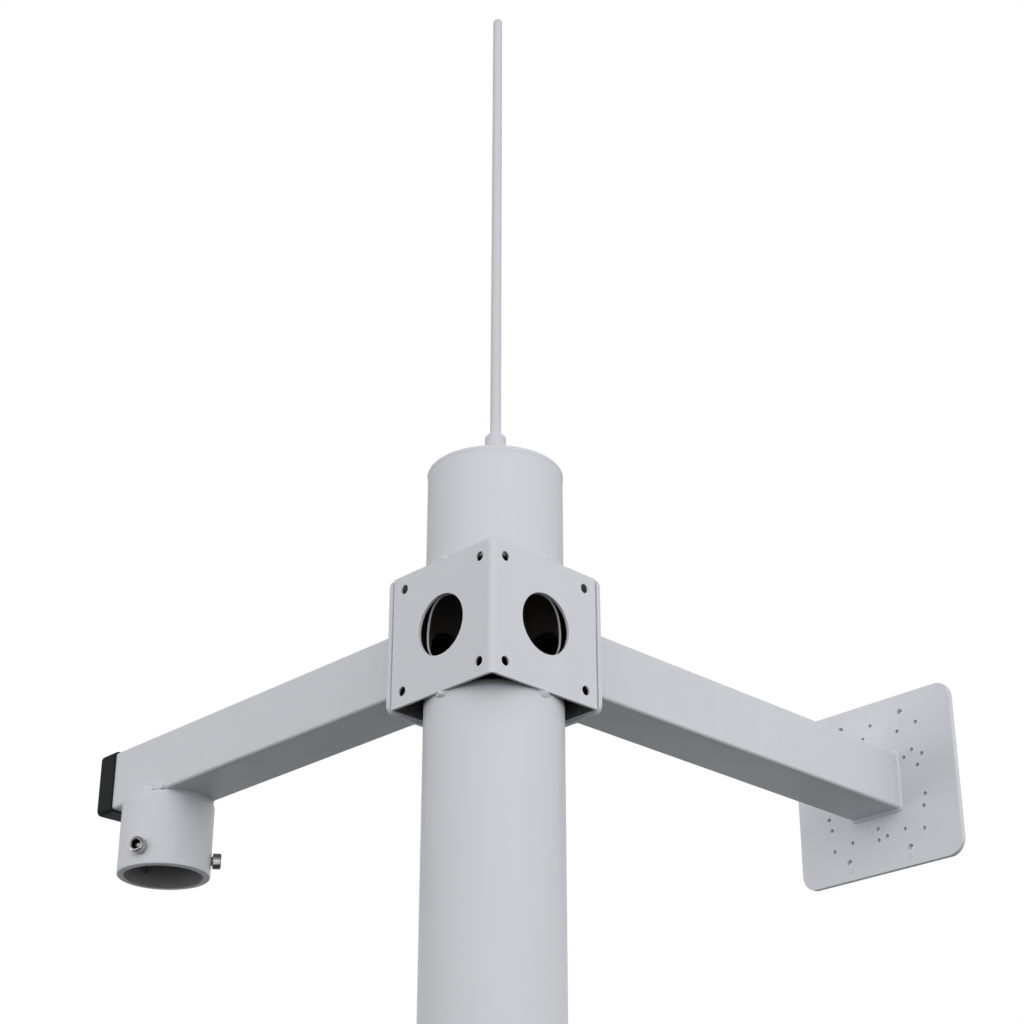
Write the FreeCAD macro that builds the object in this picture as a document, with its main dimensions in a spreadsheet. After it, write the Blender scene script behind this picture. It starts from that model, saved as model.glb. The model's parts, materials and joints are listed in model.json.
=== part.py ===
import FreeCAD, Part
import os
import Sketcher

# Camera mast head: a round pole with a folded box bracket, two square arms, a socket collar,
# a camera plate and a thin lightning rod. Millimetres, +Z up, origin at the centre of the
# pole's foot. The right arm runs along +X, the left arm along +Y, and the bracket's front
# fold stands in the corner between -X and -Y.

SIZES = (
    ("pole_diameter", 139.7),
    ("pole_wall", 2.5),
    ("pole_length", 1186),
    ("head_height", 1000),
    ("cable_hole", 64),
    ("top_cap_thickness", 4),
    ("top_cap_setback", 1.6),
    ("top_bead_rise", 3.6),
    ("top_bead_round", 2),
    ("top_bead_lap", 2.5),
    ("top_bead_proud", 0.5),
    ("bracket_inside", 140),
    ("bracket_height", 141),
    ("sheet_thickness", 3),
    ("bend_inside", 3),
    ("edge_gap", 2.3),
    ("tack_length", 12),
    ("tack_height", 9),
    ("upper_tack_height", 5),
    ("bolt_pitch", 110),
    ("bolt_hole", 10),
    ("flange_width", 144),
    ("flange_height", 147),
    ("flange_thickness", 5),
    ("flange_corner", 10),
    ("flange_cable_hole", 56),
    ("arm_width", 70),
    ("arm_wall", 3),
    ("arm_corner", 4),
    ("arm_weld_leg", 5),
    ("weld_toe", 0.7),
    ("right_arm_length", 545),
    ("left_arm_length", 558),
    ("plate_width", 230),
    ("plate_height", 210),
    ("plate_thickness", 8),
    ("plate_corner", 20),
    ("plate_weld_leg", 3),
    ("plate_cable_hole", 50),
    ("stud_hole", 9),
    ("stud_pitch_wide", 88),
    ("stud_pitch_tall", 166),
    ("screw_hole", 5),
    ("square_pitch", 130),
    ("upright_pitch_wide", 76),
    ("upright_pitch_tall", 120),
    ("lying_pitch_wide", 140),
    ("lying_pitch_tall", 49),
    ("small_ring", 103),
    ("middle_ring", 130),
    ("large_ring", 154),
    ("four_ring", 128),
    ("four_ring_turn", -11),
    ("end_cap_length", 30),
    ("end_cap_wall", 2),
    ("end_cap_end", 4),
    ("end_cap_round", 3),
    ("end_cap_play", 0.1),
    ("collar_inset", 90),
    ("collar_diameter", 106),
    ("collar_wall", 8),
    ("collar_height", 88),
    ("collar_rim_round", 2),
    ("collar_top_thickness", 6),
    ("collar_shoulder", 5),
    ("collar_cable_hole", 30),
    ("collar_weld_radius", 4),
    ("clamp_diameter", 12),
    ("clamp_play", 0.05),
    ("clamp_height", 21),
    ("clamp_turn", -156),
    ("clamp_standoff", 1.2),
    ("clamp_recess", 0.2),
    ("clamp_head_diameter", 18),
    ("clamp_head_height", 10),
    ("clamp_key", 10),
    ("clamp_key_depth", 6),
    ("clamp_chamfer", 1),
    ("bolt_diameter", 8),
    ("bolt_head_flats", 13),
    ("bolt_head_height", 5.3),
    ("bolt_end", 2),
    ("nut_height", 6.8),
    ("nut_play", 0.05),
    ("washer_diameter", 16),
    ("washer_hole", 8.4),
    ("washer_thickness", 1.6),
    ("rod_diameter", 11.4),
    ("rod_length", 598.5),
    ("rod_end_diameter", 10.2),
    ("rod_play", 0.1),
    ("rod_tip_round", 4),
    ("rod_weld_leg", 3),
    ("rod_weld_rise", 3),
    ("rod_socket_diameter", 22),
    ("rod_socket_height", 46),
    ("rod_socket_chamfer", 2),
    ("rod_socket_weld", 4),
)

# Counts that are whole numbers by nature
CLAMP_COUNT = 3
THREE_HOLES = 3
FOUR_HOLES = 4
HEXAGON_SIDES = 6
FULL_TURN = 360
ROUNDING = 0.01

doc = FreeCAD.newDocument("camera_mast")
sheet = doc.addObject("Spreadsheet::Sheet", "Sizes")
for row, (alias, size) in enumerate(SIZES, start=1):
    sheet.set("A%d" % row, alias)
    sheet.set("B%d" % row, str(size))
    sheet.setAlias("B%d" % row, alias)
doc.recompute()

# Places that several pieces share, as expressions over the sheet
POLE_RADIUS = "Sizes.pole_diameter / 2"
HEAD = "Sizes.head_height"
INSIDE = "Sizes.bracket_inside / 2"
OUTSIDE = "(Sizes.bracket_inside / 2 + Sizes.sheet_thickness)"
BRACKET_FOOT = "(Sizes.head_height - Sizes.bracket_height / 2)"
FLANGE_FOOT = "(Sizes.head_height - Sizes.flange_height / 2)"
FLANGE_TOP = "(Sizes.head_height + Sizes.flange_height / 2)"
BOLT_OFFSET = "Sizes.bolt_pitch / 2"
ARM_START = "(Sizes.bracket_inside / 2 + Sizes.sheet_thickness + Sizes.flange_thickness)"
RIGHT_END = "(%s + Sizes.right_arm_length)" % ARM_START
LEFT_END = "(%s + Sizes.left_arm_length)" % ARM_START
ARM_HALF = "Sizes.arm_width / 2"
ARM_UNDERSIDE = "(Sizes.head_height - Sizes.arm_width / 2)"
CAP_SEAT = "Sizes.pole_length"
CAP_TOP = "(Sizes.pole_length + Sizes.top_cap_thickness)"
COLLAR_AXIS = "(%s - Sizes.collar_inset)" % LEFT_END
COLLAR_RADIUS = "Sizes.collar_diameter / 2"
COLLAR_BORE = "(Sizes.collar_diameter / 2 - Sizes.collar_wall)"
COLLAR_RIM = "(Sizes.head_height - Sizes.arm_width / 2 - Sizes.collar_height)"
COLLAR_TUBE = "(Sizes.collar_height - Sizes.collar_top_thickness)"

nodes = {}


def value(expression):
    """The number that an expression over the sheet gives."""
    result = sheet.evalExpression(expression)
    return float(getattr(result, "Value", result))


def keep(label, piece):
    """Lists a finished sub-part under the name of its file."""
    piece.Label = label
    nodes[label] = piece
    return piece


def bind(piece, **expressions):
    """Ties properties to expressions; a double underscore stands for a dot."""
    for name, expression in expressions.items():
        piece.setExpression(name.replace("__", "."), expression)
    return piece


def new_body(name):
    return doc.addObject("PartDesign::Body", name)


def new_sketch(body, plane, offset="0"):
    """A sketch on one of the body's own planes, moved along that plane's normal."""
    sketch = body.newObject("Sketcher::SketchObject", body.Name + "_sketch")
    support = [item for item in body.Origin.OriginFeatures if item.Role == plane][0]
    sketch.AttachmentSupport = [(support, "")]
    sketch.MapMode = "FlatFace"
    sketch.setExpression("AttachmentOffset.Base.z", offset)
    return sketch


def constrain(sketch, kind, *details):
    """Adds a driving constraint; its last detail is the expression that sets it."""
    expression = details[-1]
    index = sketch.addConstraint(Sketcher.Constraint(kind, *details[:-1], value(expression)))
    sketch.setExpression("Constraints[%d]" % index, expression)


def place_point(sketch, geometry, point, across, up):
    constrain(sketch, "DistanceX", -1, 1, geometry, point, across)
    constrain(sketch, "DistanceY", -1, 1, geometry, point, up)


def circle(sketch, across, up, radius):
    """A full circle, its centre and radius given as expressions."""
    centre = FreeCAD.Vector(value(across), value(up), 0)
    index = sketch.addGeometry(Part.Circle(centre, FreeCAD.Vector(0, 0, 1), value(radius)), False)
    place_point(sketch, index, 3, across, up)
    constrain(sketch, "Radius", index, radius)


def sign(number):
    return (number > ROUNDING) - (number < -ROUNDING)


def tangent_stops(corners):
    """Turns corners (across, up, radius) into the ends of the outline's lines and arcs."""
    spots = [(value(across), value(up)) for across, up, radius in corners]
    stops = []
    for here, (across, up, radius) in enumerate(corners):
        if not radius:
            stops.append((across, up, "", spots[here]))
            continue
        following = (here + 1) % len(corners)
        for neighbour, arc in ((here - 1, radius), (following, "")):
            step_across = sign(spots[neighbour][0] - spots[here][0])
            step_up = sign(spots[neighbour][1] - spots[here][1])
            stop_across = "(%s) + %d * (%s)" % (across, step_across, radius)
            stop_up = "(%s) + %d * (%s)" % (up, step_up, radius)
            stops.append((stop_across, stop_up, arc, spots[here]))
    return stops


def corner_arc(start, end, corner, radius):
    """The arc between two sides that meet at a right angle, and whether it runs clockwise."""
    centre = start + end - FreeCAD.Vector(corner[0], corner[1], 0)
    clockwise = (start - centre).cross(end - centre).z < 0
    first, second = (end, start) if clockwise else (start, end)
    round_line = Part.Circle(centre, FreeCAD.Vector(0, 0, 1), radius)
    arc = Part.ArcOfCircle(round_line, round_line.parameter(first), round_line.parameter(second))
    return arc, clockwise


def outline(sketch, corners):
    """A closed outline. A corner with a radius lies between sides along the sketch's axes."""
    stops = tangent_stops(corners)
    points = [FreeCAD.Vector(value(stop[0]), value(stop[1]), 0) for stop in stops]
    ends = []
    for here, (across, up, radius, corner) in enumerate(stops):
        following = (here + 1) % len(stops)
        if radius:
            piece, clockwise = corner_arc(points[here], points[following], corner, value(radius))
        else:
            piece, clockwise = Part.LineSegment(points[here], points[following]), False
        index = sketch.addGeometry(piece, False)
        start, end = (2, 1) if clockwise else (1, 2)
        ends.append((index, start, end))
    for here, (across, up, radius, corner) in enumerate(stops):
        index, start, end = ends[here]
        next_index, next_start, next_end = ends[(here + 1) % len(stops)]
        sketch.addConstraint(Sketcher.Constraint("Coincident", index, end, next_index, next_start))
        place_point(sketch, index, start, across, up)
        if radius:
            constrain(sketch, "Radius", index, radius)


def rounded_square(sketch, half, corner, middle=HEAD):
    """A square of half width half round the point (0, middle), with rounded corners."""
    low = "%s - (%s)" % (middle, half)
    high = "%s + (%s)" % (middle, half)
    left = "-(%s)" % half
    outline(sketch, [(left, low, corner), (half, low, corner), (half, high, corner),
                     (left, high, corner)])


def hexagon(sketch, flats, across, up):
    """A hexagon with two flats upright, measured over its flats."""
    corners = []
    for side in range(HEXAGON_SIDES):
        turn = "(30 + 60 * %d)" % side
        reach = "(%s) / sqrt(3)" % flats
        corners.append(("%s + %s * cos(%s)" % (across, reach, turn),
                        "%s + %s * sin(%s)" % (up, reach, turn), ""))
    outline(sketch, corners)


def pad(body, sketch, length, backwards=False):
    feature = body.newObject("PartDesign::Pad", body.Name + "_pad")
    feature.Profile = sketch
    feature.Reversed = backwards
    feature.setExpression("Length", length)
    doc.recompute()
    return feature


def pocket(body, sketch, length, backwards=False):
    """Cuts a pocket and checks that it took material away."""
    before = body.Shape.Volume
    feature = body.newObject("PartDesign::Pocket", body.Name + "_pocket")
    feature.Profile = sketch
    feature.Reversed = backwards
    feature.setExpression("Length", length)
    doc.recompute()
    if not feature.Shape.Volume < before:
        raise ValueError(body.Name + ": a pocket cuts nothing")
    return feature


def through_pocket(body, sketch):
    """Cuts right through the body, both ways from the sketch."""
    before = body.Shape.Volume
    feature = body.newObject("PartDesign::Pocket", body.Name + "_through")
    feature.Profile = sketch
    feature.SideType = "Symmetric"
    feature.Type = "ThroughAll"
    doc.recompute()
    if not feature.Shape.Volume < before:
        raise ValueError(body.Name + ": a hole cuts nothing")
    return feature


def revolution(body, sketch):
    feature = body.newObject("PartDesign::Revolution", body.Name + "_turned")
    feature.Profile = sketch
    feature.ReferenceAxis = (sketch, ["V_Axis"])
    feature.Angle = FULL_TURN
    doc.recompute()
    return feature


def polar_pattern(body, feature, axis, count):
    """Repeats a feature evenly round one of the body's own axes."""
    pattern = body.newObject("PartDesign::PolarPattern", body.Name + "_ring")
    pattern.Originals = [feature]
    pattern.Axis = ([item for item in body.Origin.OriginFeatures if item.Role == axis][0], [""])
    pattern.Angle = FULL_TURN
    pattern.Occurrences = count
    body.Tip = pattern
    doc.recompute()
    return pattern


def dress_edges(body, kind, size, wanted):
    """Adds a Fillet or Chamfer to the edges that the test wants."""
    base = body.Tip
    chosen = ["Edge%d" % number for number, edge in enumerate(base.Shape.Edges, start=1)
              if wanted(edge)]
    feature = body.newObject("PartDesign::" + kind, body.Name + "_" + kind.lower())
    feature.Base = (base, chosen)
    feature.setExpression("Radius" if kind == "Fillet" else "Size", size)
    doc.recompute()
    return feature


def mirrored(name, source, normal, height="0"):
    """A mirror image of a piece in an upright or level plane."""
    image = doc.addObject("Part::Mirroring", name)
    image.Source = source
    image.Normal = FreeCAD.Vector(*normal)
    image.setExpression("Base.z", height)
    doc.recompute()
    return image


def compound(name, pieces):
    group = doc.addObject("Part::Compound", name)
    group.Links = pieces
    doc.recompute()
    return group


def cut(name, base, tool):
    difference = doc.addObject("Part::Cut", name)
    difference.Base = base
    difference.Tool = tool
    doc.recompute()
    return difference


def fuse(name, pieces):
    union = doc.addObject("Part::MultiFuse", name)
    union.Shapes = pieces
    doc.recompute()
    return union


def upright_cylinder(name, radius, height, foot):
    cylinder = doc.addObject("Part::Cylinder", name)
    bind(cylinder, Radius=radius, Height=height, Placement__Base__z=foot)
    doc.recompute()
    return cylinder


def turned_piece(name, corners, across, height):
    """A piece turned about its own upright axis from an outline of radii and heights."""
    body = new_body(name)
    sketch = new_sketch(body, "XZ_Plane")
    outline(sketch, corners)
    revolution(body, sketch)
    bind(body, Placement__Base__y=across, Placement__Base__z=height)
    return body


ACROSS_ARMS = (1, -1, 0)
ACROSS_CORNER = (1, 1, 0)
ACROSS_Y = (0, 1, 0)
LEVEL = (0, 0, 1)


# The pole, its welded top cap and the bead round the cap

def make_pole():
    """The round tube, with one cable hole facing each side of the bracket."""
    body = new_body("mast_pole")
    sketch = new_sketch(body, "XY_Plane")
    circle(sketch, "0", "0", POLE_RADIUS)
    circle(sketch, "0", "0", POLE_RADIUS + " - Sizes.pole_wall")
    pad(body, sketch, "Sizes.pole_length")
    for plane in ("XZ_Plane", "YZ_Plane"):
        hole = new_sketch(body, plane)
        circle(hole, "0", HEAD, "Sizes.cable_hole / 2")
        through_pocket(body, hole)
    return keep("mast_pole", body)


def make_top_cap():
    """A disc on the tube's end, set back from its edge to leave room for the bead."""
    radius = POLE_RADIUS + " - Sizes.top_cap_setback"
    disc = upright_cylinder("top_cap", radius, "Sizes.top_cap_thickness", CAP_SEAT)
    return keep("top_cap", disc)


def make_top_cap_weld():
    """A round bead in the step round the disc, lapping a little down the tube's outside."""
    disc = POLE_RADIUS + " - Sizes.top_cap_setback"
    skin = POLE_RADIUS + " + Sizes.top_bead_proud"
    body = turned_piece("top_cap_weld", [
        (disc, "0", ""),
        (POLE_RADIUS, "0", ""),
        (POLE_RADIUS, "-Sizes.top_bead_lap", ""),
        (skin, "-Sizes.top_bead_lap", ""),
        (skin, "Sizes.top_bead_rise", "Sizes.top_bead_round"),
        (disc, "Sizes.top_bead_rise", ""),
    ], "0", CAP_SEAT)
    return keep("top_cap_weld", body)


# The folded box bracket and the tack welds that hold it to the pole

def bracket_holes(body):
    """The cable hole and four bolt holes in each of a sheet's two panels."""
    for plane in ("XZ_Plane", "YZ_Plane"):
        sketch = new_sketch(body, plane)
        circle(sketch, "0", HEAD, "Sizes.cable_hole / 2")
        bolt_circles(sketch, BOLT_OFFSET, BOLT_OFFSET, "Sizes.bolt_hole / 2")
        through_pocket(body, sketch)


def bolt_circles(sketch, half_across, half_up, radius):
    """Four circles at the corners of a rectangle round the arms' height."""
    for side in ("-1", "1"):
        for rise in ("-1", "1"):
            across = "%s * (%s)" % (side, half_across)
            up = "%s + %s * (%s)" % (HEAD, rise, half_up)
            circle(sketch, across, up, radius)


def make_front_sheet():
    """One sheet bent square, with the soft fold at the front corner."""
    body = new_body("front_bracket_sheet")
    sketch = new_sketch(body, "XY_Plane", BRACKET_FOOT)
    fold_outside = "Sizes.bend_inside + Sizes.sheet_thickness"
    edge = "(%s - Sizes.edge_gap)" % OUTSIDE
    outline(sketch, [
        ("-" + OUTSIDE, "-" + OUTSIDE, fold_outside),
        (edge, "-" + OUTSIDE, ""),
        (edge, "-" + INSIDE, ""),
        ("-" + INSIDE, "-" + INSIDE, "Sizes.bend_inside"),
        ("-" + INSIDE, edge, ""),
        ("-" + OUTSIDE, edge, ""),
    ])
    pad(body, sketch, "Sizes.bracket_height")
    bracket_holes(body)
    return keep("front_bracket_sheet", body)


def make_rear_sheet():
    """The second sheet, butted against the first one's inner faces."""
    body = new_body("rear_bracket_sheet")
    sketch = new_sketch(body, "XY_Plane", BRACKET_FOOT)
    edge = "-" + INSIDE
    fold_outside = "Sizes.bend_inside + Sizes.sheet_thickness"
    outline(sketch, [
        (OUTSIDE, OUTSIDE, fold_outside),
        (edge, OUTSIDE, ""),
        (edge, INSIDE, ""),
        (INSIDE, INSIDE, "Sizes.bend_inside"),
        (INSIDE, edge, ""),
        (OUTSIDE, edge, ""),
    ])
    pad(body, sketch, "Sizes.bracket_height")
    bracket_holes(body)
    return keep("rear_bracket_sheet", body)


def one_tack(name, height):
    """A bead at a panel's lower edge, cut off by the pole and the sheet."""
    bead = doc.addObject("Part::Ellipsoid", name + "_bead")
    bind(bead, Radius1=height + " / 2", Radius2="Sizes.sheet_thickness",
         Radius3="Sizes.tack_length / 2", Angle1="-90", Angle2="90", Angle3="360",
         Placement__Base__x="-" + INSIDE, Placement__Base__z=BRACKET_FOOT)
    pole = upright_cylinder(name + "_pole", POLE_RADIUS, "Sizes.pole_length", "0")
    above = doc.addObject("Part::Box", name + "_above")
    bind(above, Length="Sizes.bracket_inside", Width="Sizes.bracket_inside",
         Height="Sizes.bracket_height", Placement__Base__x="-" + OUTSIDE,
         Placement__Base__y="-" + INSIDE, Placement__Base__z=BRACKET_FOOT)
    return cut(name + "_first", bead, fuse(name + "_seat", [pole, above]))


def make_tack_welds():
    """A bead at the middle of each panel, at its lower and upper edge, against the pole."""
    rings = []
    for name, height in (("lower_tack", "Sizes.tack_height"),
                         ("upper_tack", "Sizes.upper_tack_height")):
        first = one_tack(name, height)
        second = mirrored(name + "_second", first, ACROSS_ARMS)
        front_pair = compound(name + "_front", [first, second])
        rear_pair = mirrored(name + "_rear", front_pair, ACROSS_CORNER)
        rings.append(compound(name + "_ring", [front_pair, rear_pair]))
    upper = mirrored("upper_tacks", rings[1], LEVEL, HEAD)
    return keep("pole_tack_welds", compound("pole_tack_welds", [rings[0], upper]))


# The arms: flange, square tube and the bead between them

def make_right_flange():
    """A plate against the bracket's rear right panel, with rounded corners."""
    body = new_body("right_arm_flange")
    sketch = new_sketch(body, "YZ_Plane", OUTSIDE)
    near = "-" + OUTSIDE
    far = "Sizes.flange_width - " + OUTSIDE
    corner = "Sizes.flange_corner"
    outline(sketch, [(near, FLANGE_FOOT, corner), (far, FLANGE_FOOT, corner),
                     (far, FLANGE_TOP, corner), (near, FLANGE_TOP, corner)])
    circle(sketch, "0", HEAD, "Sizes.flange_cable_hole / 2")
    bolt_circles(sketch, BOLT_OFFSET, BOLT_OFFSET, "Sizes.bolt_hole / 2")
    pad(body, sketch, "Sizes.flange_thickness")
    return keep("right_arm_flange", body)


def arm_section(sketch):
    """The square tube's section, with rounded corners inside and out."""
    rounded_square(sketch, ARM_HALF, "Sizes.arm_corner")
    rounded_square(sketch, ARM_HALF + " - Sizes.arm_wall", "Sizes.arm_corner - Sizes.arm_wall")


def make_right_tube():
    body = new_body("right_arm_tube")
    sketch = new_sketch(body, "YZ_Plane", ARM_START)
    arm_section(sketch)
    pad(body, sketch, "Sizes.right_arm_length")
    return keep("right_arm_tube", body)


def make_left_tube():
    """The left tube, with a cable hole in its underside over the collar."""
    body = new_body("left_arm_tube")
    sketch = new_sketch(body, "XZ_Plane", "-" + ARM_START)
    arm_section(sketch)
    pad(body, sketch, "Sizes.left_arm_length", backwards=True)
    hole = new_sketch(body, "XY_Plane", HEAD)
    circle(hole, "0", COLLAR_AXIS, "Sizes.collar_cable_hole / 2")
    pocket(body, hole, "Sizes.arm_width")
    return keep("left_arm_tube", body)


def weld_frame(name, start, leg, backwards):
    """A fillet bead all round the square tube, where it meets a plate at x = start."""
    body = new_body(name)
    sketch = new_sketch(body, "YZ_Plane", start)
    rounded_square(sketch, "%s + %s" % (ARM_HALF, leg), "Sizes.arm_corner + " + leg)
    rounded_square(sketch, ARM_HALF, "Sizes.arm_corner")
    pad(body, sketch, leg, backwards)
    top = value(start) + (-1 if backwards else 1) * value(leg)
    between = value("%s + %s / 2" % (ARM_HALF, leg))
    middle = value(HEAD)

    def on_outer_rim(edge):
        box = edge.BoundBox
        reach = max(-box.YMin, box.YMax, middle - box.ZMin, box.ZMax - middle)
        return abs(edge.CenterOfMass.x - top) < ROUNDING and reach > between

    dress_edges(body, "Chamfer", leg + " - Sizes.weld_toe", on_outer_rim)
    return keep(name, body)


# The camera plate at the right arm's end

def ring_of_holes(body, ring, turn, count):
    """Screw holes evenly spaced on a circle about the arm's axis."""
    sketch = new_sketch(body, "YZ_Plane", "Sizes.right_arm_length")
    for number in range(count):
        angle = "(%s + %d * %d / %d)" % (turn, number, FULL_TURN, count)
        circle(sketch, "%s / 2 * cos(%s)" % (ring, angle),
               "%s + %s / 2 * sin(%s)" % (HEAD, ring, angle), "Sizes.screw_hole / 2")
    through_pocket(body, sketch)


def make_camera_plate():
    """The drilled plate, with rectangles and rings of holes for several cameras."""
    body = new_body("camera_plate")
    sketch = new_sketch(body, "YZ_Plane", RIGHT_END)
    half = "Sizes.plate_width / 2"
    low = HEAD + " - Sizes.plate_height / 2"
    high = HEAD + " + Sizes.plate_height / 2"
    corner = "Sizes.plate_corner"
    outline(sketch, [("-" + half, low, corner), (half, low, corner), (half, high, corner),
                     ("-" + half, high, corner)])
    circle(sketch, "0", HEAD, "Sizes.plate_cable_hole / 2")
    pad(body, sketch, "Sizes.plate_thickness")
    for across, up, hole in (
        ("Sizes.stud_pitch_wide / 2", "Sizes.stud_pitch_tall / 2", "Sizes.stud_hole / 2"),
        ("Sizes.square_pitch / 2", "Sizes.square_pitch / 2", "Sizes.screw_hole / 2"),
        ("Sizes.upright_pitch_wide / 2", "Sizes.upright_pitch_tall / 2", "Sizes.screw_hole / 2"),
        ("Sizes.lying_pitch_wide / 2", "Sizes.lying_pitch_tall / 2", "Sizes.screw_hole / 2"),
    ):
        holes = new_sketch(body, "YZ_Plane", "Sizes.right_arm_length")
        bolt_circles(holes, across, up, hole)
        through_pocket(body, holes)
    for ring, turn, count in (
        ("Sizes.small_ring", "30", THREE_HOLES),
        ("Sizes.middle_ring", "30", THREE_HOLES),
        ("Sizes.large_ring", "90", THREE_HOLES),
        ("Sizes.four_ring", "Sizes.four_ring_turn", FOUR_HOLES),
    ):
        ring_of_holes(body, ring, turn, count)
    return keep("camera_plate", body)


# The push-on cap at the left arm's end

def make_end_cap():
    """A soft cap that sleeves over the square tube and closes its end."""
    body = new_body("arm_end_cap")
    sketch = new_sketch(body, "XZ_Plane", "-(%s + Sizes.end_cap_end)" % LEFT_END)
    skin = "Sizes.end_cap_play + Sizes.end_cap_wall"
    rounded_square(sketch, "%s + %s" % (ARM_HALF, skin), "Sizes.arm_corner + " + skin)
    pad(body, sketch, "Sizes.end_cap_length")
    hollow = new_sketch(body, "XZ_Plane", "-" + LEFT_END)
    rounded_square(hollow, ARM_HALF + " + Sizes.end_cap_play",
                   "Sizes.arm_corner + Sizes.end_cap_play")
    pocket(body, hollow, "Sizes.end_cap_length", backwards=True)
    end = value("%s + Sizes.end_cap_end" % LEFT_END)
    dress_edges(body, "Fillet", "Sizes.end_cap_round",
                lambda edge: abs(edge.CenterOfMass.y - end) < ROUNDING)
    return keep("arm_end_cap", body)


# The socket collar under the left arm, with its clamp screws

def make_collar():
    """The socket tube, tapped through its wall for the clamp screws."""
    body = turned_piece("camera_collar", [
        (COLLAR_BORE, "0", ""),
        (COLLAR_RADIUS, "0", "Sizes.collar_rim_round"),
        (COLLAR_RADIUS, COLLAR_TUBE, ""),
        (COLLAR_BORE, COLLAR_TUBE, ""),
    ], COLLAR_AXIS, COLLAR_RIM)
    hole = new_sketch(body, "YZ_Plane")
    circle(hole, "0", "Sizes.clamp_height", "Sizes.clamp_diameter / 2 + Sizes.clamp_play")
    drilled = pocket(body, hole, COLLAR_RADIUS + " + Sizes.collar_wall", backwards=True)
    polar_pattern(body, drilled, "Z_Axis", CLAMP_COUNT)
    body.Placement.Rotation = FreeCAD.Rotation(FreeCAD.Vector(0, 0, 1), 0)
    bind(body, Placement__Rotation__Angle="Sizes.clamp_turn")
    return keep("camera_collar", body)


def make_collar_top():
    """The disc that closes the collar under the arm, with a cable hole."""
    bore = "Sizes.collar_cable_hole / 2"
    thickness = "Sizes.collar_top_thickness"
    body = turned_piece("collar_top_plate", [
        (bore, "0", ""),
        (COLLAR_RADIUS, "0", ""),
        (COLLAR_RADIUS, thickness, "Sizes.collar_shoulder"),
        (bore, thickness, ""),
    ], COLLAR_AXIS, "%s + %s" % (COLLAR_RIM, COLLAR_TUBE))
    return keep("collar_top_plate", body)


def make_collar_weld(top, arm):
    """Beads along both sides of the arm on the collar's top, joined round its shoulder."""
    ring = doc.addObject("Part::Torus", "collar_bead_ring")
    bind(ring, Radius1=COLLAR_RADIUS + " - Sizes.collar_weld_radius",
         Radius2="Sizes.collar_weld_radius", Placement__Base__y=COLLAR_AXIS,
         Placement__Base__z=ARM_UNDERSIDE)
    lane = doc.addObject("Part::Box", "collar_bead_lane")
    bind(lane, Length="Sizes.arm_width", Width="2 * Sizes.collar_diameter",
         Height="Sizes.arm_width / 2", Placement__Base__x="-" + ARM_HALF,
         Placement__Base__y=COLLAR_AXIS + " - Sizes.collar_diameter",
         Placement__Base__z=HEAD + " - Sizes.arm_width")
    under = doc.addObject("Part::MultiCommon", "collar_bead_under")
    under.Shapes = [ring, lane]
    doc.recompute()
    half_run = "sqrt((%s - Sizes.collar_shoulder) ^ 2 - (%s) ^ 2)" % (COLLAR_RADIUS, ARM_HALF)
    sides = []
    for side in ("-1", "1"):
        bead = doc.addObject("Part::Cylinder", "collar_bead_side")
        bead.Placement.Rotation = FreeCAD.Rotation(FreeCAD.Vector(1, 0, 0), -90)
        bind(bead, Radius="Sizes.collar_weld_radius", Height="2 * " + half_run,
             Placement__Base__x="%s * %s" % (side, ARM_HALF),
             Placement__Base__y=COLLAR_AXIS + " - " + half_run,
             Placement__Base__z=ARM_UNDERSIDE)
        sides.append(bead)
    solid_arm = doc.addObject("Part::Box", "collar_bead_arm")
    bind(solid_arm, Length="Sizes.arm_width - 2 * Sizes.arm_wall", Width="2 * Sizes.collar_diameter",
         Height="Sizes.arm_width / 2", Placement__Base__x="-(%s - Sizes.arm_wall)" % ARM_HALF,
         Placement__Base__y=COLLAR_AXIS + " - Sizes.collar_diameter",
         Placement__Base__z=ARM_UNDERSIDE)
    beads = fuse("collar_beads", [under] + sides)
    seat = fuse("collar_bead_seat", [top, arm, solid_arm])
    return keep("collar_weld", cut("collar_weld", beads, seat))


def make_clamp_screw(number):
    """A socket cap screw in the collar's wall, with its tip just inside the bore."""
    name = "clamp_screw_%d" % number
    body = new_body(name)
    head_start = COLLAR_RADIUS + " + Sizes.clamp_standoff"
    shank_start = COLLAR_BORE + " + Sizes.clamp_recess"
    shank = new_sketch(body, "YZ_Plane", shank_start)
    circle(shank, "0", "0", "Sizes.clamp_diameter / 2")
    pad(body, shank, "Sizes.clamp_standoff + Sizes.collar_wall - Sizes.clamp_recess")
    head = new_sketch(body, "YZ_Plane", head_start)
    circle(head, "0", "0", "Sizes.clamp_head_diameter / 2")
    pad(body, head, "Sizes.clamp_head_height")
    key = new_sketch(body, "YZ_Plane", head_start + " + Sizes.clamp_head_height")
    hexagon(key, "Sizes.clamp_key", "0", "0")
    pocket(body, key, "Sizes.clamp_key_depth")
    face = value(head_start + " + Sizes.clamp_head_height")
    tip = value(shank_start)
    hexagon_side = value("Sizes.clamp_key / sqrt(3)")

    def on_round_end(edge):
        at_end = min(abs(edge.CenterOfMass.x - face), abs(edge.CenterOfMass.x - tip)) < ROUNDING
        return at_end and edge.Length > hexagon_side + ROUNDING

    dress_edges(body, "Chamfer", "Sizes.clamp_chamfer", on_round_end)
    body.Placement.Rotation = FreeCAD.Rotation(FreeCAD.Vector(0, 0, 1), 0)
    step = FULL_TURN / CLAMP_COUNT * (number - 1)
    bind(body, Placement__Base__y=COLLAR_AXIS,
         Placement__Base__z=COLLAR_RIM + " + Sizes.clamp_height",
         Placement__Rotation__Angle="Sizes.clamp_turn + %g" % step)
    return keep(name, body)


# The flange bolts, one modelled and the others mirrored

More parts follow.
